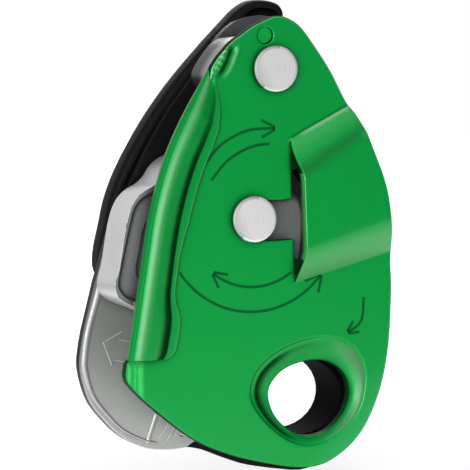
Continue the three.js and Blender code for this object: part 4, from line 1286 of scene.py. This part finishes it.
def make_camera(context, stage):
    """The camera on the photograph's side of the device."""
    turn, rise = stage.azimuth, stage.elevation
    back = Vector((
        math.sin(turn) * math.cos(rise), -math.cos(turn) * math.cos(rise), math.sin(rise)
    ))
    data = bpy.data.cameras.new("camera")
    data.lens = LENS
    data.sensor_width = SENSOR
    data.clip_start = 0.01
    camera = new_object("camera", data)
    aim(camera, TARGET * MM + back * stage.distance, -back)
    context.scene.camera = camera


def make_floor(level):
    """A wide floor at a height."""
    bm = bmesh.new()
    bmesh.ops.create_grid(bm, x_segments=8, y_segments=8, size=3.0)
    bmesh.ops.translate(bm, verts=bm.verts, vec=(0, 2.7, level))
    floor_material()
    floor = mesh_object("floor", bm, "floor_white")


def seen_share(tree, path):
    """1 for what the camera sees, straight or through something clear."""
    return maths(tree, "MAXIMUM", path["Is Camera Ray"], path["Is Transmission Ray"])


def floor_material():
    """A pale matt floor that looks white and keeps the device's shadow."""
    tree, shader = start_material("floor_white")
    matt = {"Base_Color": (0.5, 0.5, 0.5, 1), "Roughness": 0.9, "Specular_IOR_Level": 0.0}
    set_constants(shader, matt)
    away = vectors(tree, "LENGTH", place_on(tree))
    path = add(tree, "LightPath").outputs
    near = span(tree, away, 1.0, 0.0, 0.08, 0.25)
    near = maths(tree, "MULTIPLY", path["Is Glossy Ray"], near)
    far = span(tree, away, 0.65, 1.0, 0.1, 0.6)
    far = maths(tree, "MULTIPLY", seen_share(tree, path), far)
    glow = add(tree, "Emission", {"Strength": maths(tree, "ADD", near, far)})
    both = add(tree, "AddShader", {0: shader.outputs[0], 1: glow.outputs[0]})
    tree.links.new(both.outputs[0], tree.nodes["Material Output"].inputs["Surface"])


def area_lamp(name, place, target, size, power):
    """A soft lamp of a width and a height that faces a point."""
    data = bpy.data.lights.new(name, "AREA")
    data.shape = "RECTANGLE"
    data.size, data.size_y = size
    data.energy = power
    aim(new_object(name, data), place, target - place)


def make_world(context):
    """A soft studio that is brighter at its lamp side, with a plain white backdrop."""
    world = bpy.data.worlds.new("studio")
    context.scene.world = world
    world.use_nodes = True
    tree = world.node_tree
    tree.nodes.clear()
    place = place_on(tree, "Generated")
    across = add(tree, "SeparateXYZ", {0: place}).outputs
    side = vectors(tree, "DOT_PRODUCT", place, LAMP_SIDE)
    soft = span(tree, side, 0.25, 0.75, -0.7, 0.9)
    room = span(tree, side, 0.06, 0.5, 0.4, 0.85, interpolation_type="SMOOTHSTEP")
    backdrop = span(tree, across["Y"], 0.0, 1.0, 0.75, 0.95)
    low = span(tree, across["Z"], 0.0, 0.5, -0.3, -0.6)
    backdrop = maths(tree, "MAXIMUM", backdrop, low)
    rest = maths(tree, "MULTIPLY", room, maths(tree, "SUBTRACT", 1.0, backdrop))
    mirrored = maths(tree, "ADD", backdrop, rest)
    path = add(tree, "LightPath").outputs
    strength = mix_number(tree, path["Is Glossy Ray"], soft, mirrored)
    strength = mix_number(tree, seen_share(tree, path), strength, 1.0)
    sky = add(tree, "Background", {"Strength": strength, "Color": (1, 1, 1, 1)})
    output = tree.nodes.new("ShaderNodeOutputWorld")
    tree.links.new(sky.outputs[0], output.inputs["Surface"])


# Settings, operators and panel --------------------


def length_setting(name, description, default):
    """A length that a user can change, given in millimetres."""
    return FloatProperty(
        name=name, description=description, default=default * MM, unit="LENGTH"
    )


def angle_setting(name, description, default):
    """An angle that a user can change, given in degrees."""
    return FloatProperty(
        name=name, description=description, default=math.radians(default), subtype="ANGLE"
    )


def colour_setting(name, description, default):
    """A colour that a user can change."""
    return FloatVectorProperty(
        name=name, description=description, default=default, subtype="COLOR", min=0, max=1
    )


class BelayPlateSizes(PropertyGroup):
    """Sizes of the green plate"""

    bead_radius: length_setting("Bead radius", "Radius of the rolled left edge", 2.85)
    tab_width: length_setting("Hem width", "From the plate's edge to the tab's", TAB_WIDTH)
    bridge_rise: length_setting("Bridge rise", "How far it stands forward", 4.7)
    bridge_ramp: length_setting("Bridge ramp", "Height of the slope up to the bridge", 8.0)
    bridge_draw: length_setting("Bridge draw", "How far the free edge is drawn in", 1.2)
    mark_width: length_setting("Mark width", "Width of the engraved lines", 0.62)


class BelayFinishes(PropertyGroup):
    """Colours of the finishes, linear"""

    green: colour_setting("Green", "Anodised plate", (0.001, 0.36, 0.058))
    sheen: colour_setting("Sheen", "Paler green at the foot", (0.05, 0.44, 0.15))
    marks: colour_setting("Marks", "Engraved lines", (0.0015, 0.12, 0.025))
    steel: colour_setting("Steel", "Bright steel", (0.86, 0.86, 0.855))
    satin: colour_setting("Satin steel", "Friction plate", (0.48, 0.48, 0.475))
    # Also used as painted shade on the cam's hub
    recess: colour_setting("Recess", "Dark cast recess of the cam", (0.22, 0.22, 0.225))
    black: colour_setting("Black sheet", "Fixed side plate", (0.003, 0.003, 0.0033))
    nylon: colour_setting("Nylon", "Handle", (0.0065, 0.0065, 0.007))


class BelayStage(PropertyGroup):
    """Camera and lamps"""

    azimuth: angle_setting("Azimuth", "Camera's turn about the device", -20)
    elevation: angle_setting("Elevation", "Camera's angle above the horizon", 2.5)
    distance: length_setting("Distance", "From the camera to its target", 700)
    key: FloatProperty(name="Key lamp", description="Power in watts", default=7.0)
    fill: FloatProperty(name="Fill lamp", description="Power in watts", default=0.8)


class BELAY_OT_finishes(Operator):
    """Make the shared patterns and the materials"""

    bl_idname = "belay.finishes"
    bl_label = "Finishes"

    def execute(self, context):
        brushing_group()
        turning_group()
        grain_group()
        edge_group()
        make_materials(context.scene.belay_finishes)
        return {"FINISHED"}


class BELAY_OT_plate(Operator):
    """Make the green plate with its hem, stop stud and route marks"""

    bl_idname = "belay.plate"
    bl_label = "Side plate"

    def execute(self, context):
        sizes = context.scene.belay_plate
        make_plate(sizes)
        make_hem(sizes)
        make_stop()
        make_marks(sizes)
        return {"FINISHED"}


class BELAY_OT_mechanism(Operator):
    """Dress the cam, the friction parts, the rivets and the axle"""

    bl_idname = "belay.mechanism"
    bl_label = "Mechanism"

    def execute(self, context):
        cam = dress_node("cam", "cam_casting", "steel_cast", "stainless", 0.45)
        second_material(cam, "steel_recess_and_shade", cam_is_darkened)
        dress_node("friction_block", "nip_block", "steel_block", "stainless", 0.9)
        dress_node("friction_plate", "wear_plate", "steel_satin", "stainless", 1.0, 5)
        make_wear_marks()
        make_cheek_rim()
        for node, name, material in (
            ("pivot_rivet", "pivot_head", "steel_pivot"),
            ("axle", "axle_turned", "steel_axle"),
        ):
            head = dress_node(node, name, material, "bright_steel", 0.12)
            # Painted shade: the left side of each head's edge takes the dark rim material
            second_material(head, "steel_shade_rim", is_left_side)
        return {"FINISHED"}


class BELAY_OT_body(Operator):
    """Dress the fixed plate, the collar and the handle"""

    bl_idname = "belay.body"
    bl_label = "Fixed plate and handle"

    def execute(self, context):
        for row in BLACK_PIECES:
            dress_node(*row)
        return {"FINISHED"}


class BELAY_OT_inner_parts(Operator):
    """Give the pieces that keep their CAD shape their finishes"""

    bl_idname = "belay.inner_parts"
    bl_label = "Inner parts"

    def execute(self, context):
        for material, nodes in INNER_PIECES.items():
            for node in nodes:
                mesh = frame["nodes"][node].data
                mesh.materials.clear()
                mesh.materials.append(bpy.data.materials[material])
        return {"FINISHED"}


class BELAY_OT_stage(Operator):
    """Make the floor, the camera, the lamps and the world"""

    bl_idname = "belay.stage"
    bl_label = "Stage"

    def execute(self, context):
        stage = context.scene.belay_stage
        low, high = cad_box
        centre = (low + high) / 2
        make_camera(context, stage)
        make_floor(low.z - 0.4 * MM)
        for name, way, size, power in (
            ("key_lamp", (-0.55, -0.78, 0.1), (0.7, 0.3), stage.key),
            ("fill_lamp", (-0.1, -0.6, 0.7), (0.6, 0.6), stage.fill),
            ("back_lamp", (0.3, 0.8, 0.6), (0.6, 0.6), stage.key / 2),
        ):
            area_lamp(name, centre + Vector(way), centre, size, power)
        make_world(context)
        context.scene.view_settings.view_transform = "Standard"
        return {"FINISHED"}


OPERATORS = (
    BELAY_OT_finishes, BELAY_OT_plate, BELAY_OT_mechanism, BELAY_OT_body,
    BELAY_OT_inner_parts, BELAY_OT_stage,
)
SETTINGS = {
    "belay_plate": BelayPlateSizes,
    "belay_finishes": BelayFinishes,
    "belay_stage": BelayStage,
}


class BELAY_PT_panel(Panel):
    """The device's settings and the steps that make it"""

    bl_idname = "BELAY_PT_panel"
    bl_label = "Belay Device"
    bl_space_type = "VIEW_3D"
    bl_region_type = "UI"
    bl_category = "Belay Device"

    def draw(self, context):
        layout = self.layout
        for settings in SETTINGS:
            group = getattr(context.scene, settings)
            box = layout.box()
            for key in group.__annotations__:
                box.prop(group, key)
        for step in OPERATORS:
            layout.operator(step.bl_idname)


def register():
    for group in (*SETTINGS.values(), *OPERATORS, BELAY_PT_panel):
        bpy.utils.register_class(group)
    for key, group in SETTINGS.items():
        setattr(bpy.types.Scene, key, PointerProperty(type=group))


def unregister():
    for key in SETTINGS:
        delattr(bpy.types.Scene, key)
    for group in (BELAY_PT_panel, *OPERATORS, *SETTINGS.values()):
        bpy.utils.unregister_class(group)


def main():
    """Registers the classes and runs the steps in order."""
    register()
    for step in OPERATORS:
        category, name = step.bl_idname.split(".")
        getattr(getattr(bpy.ops, category), name)()


if __name__ == "__main__":
    main()
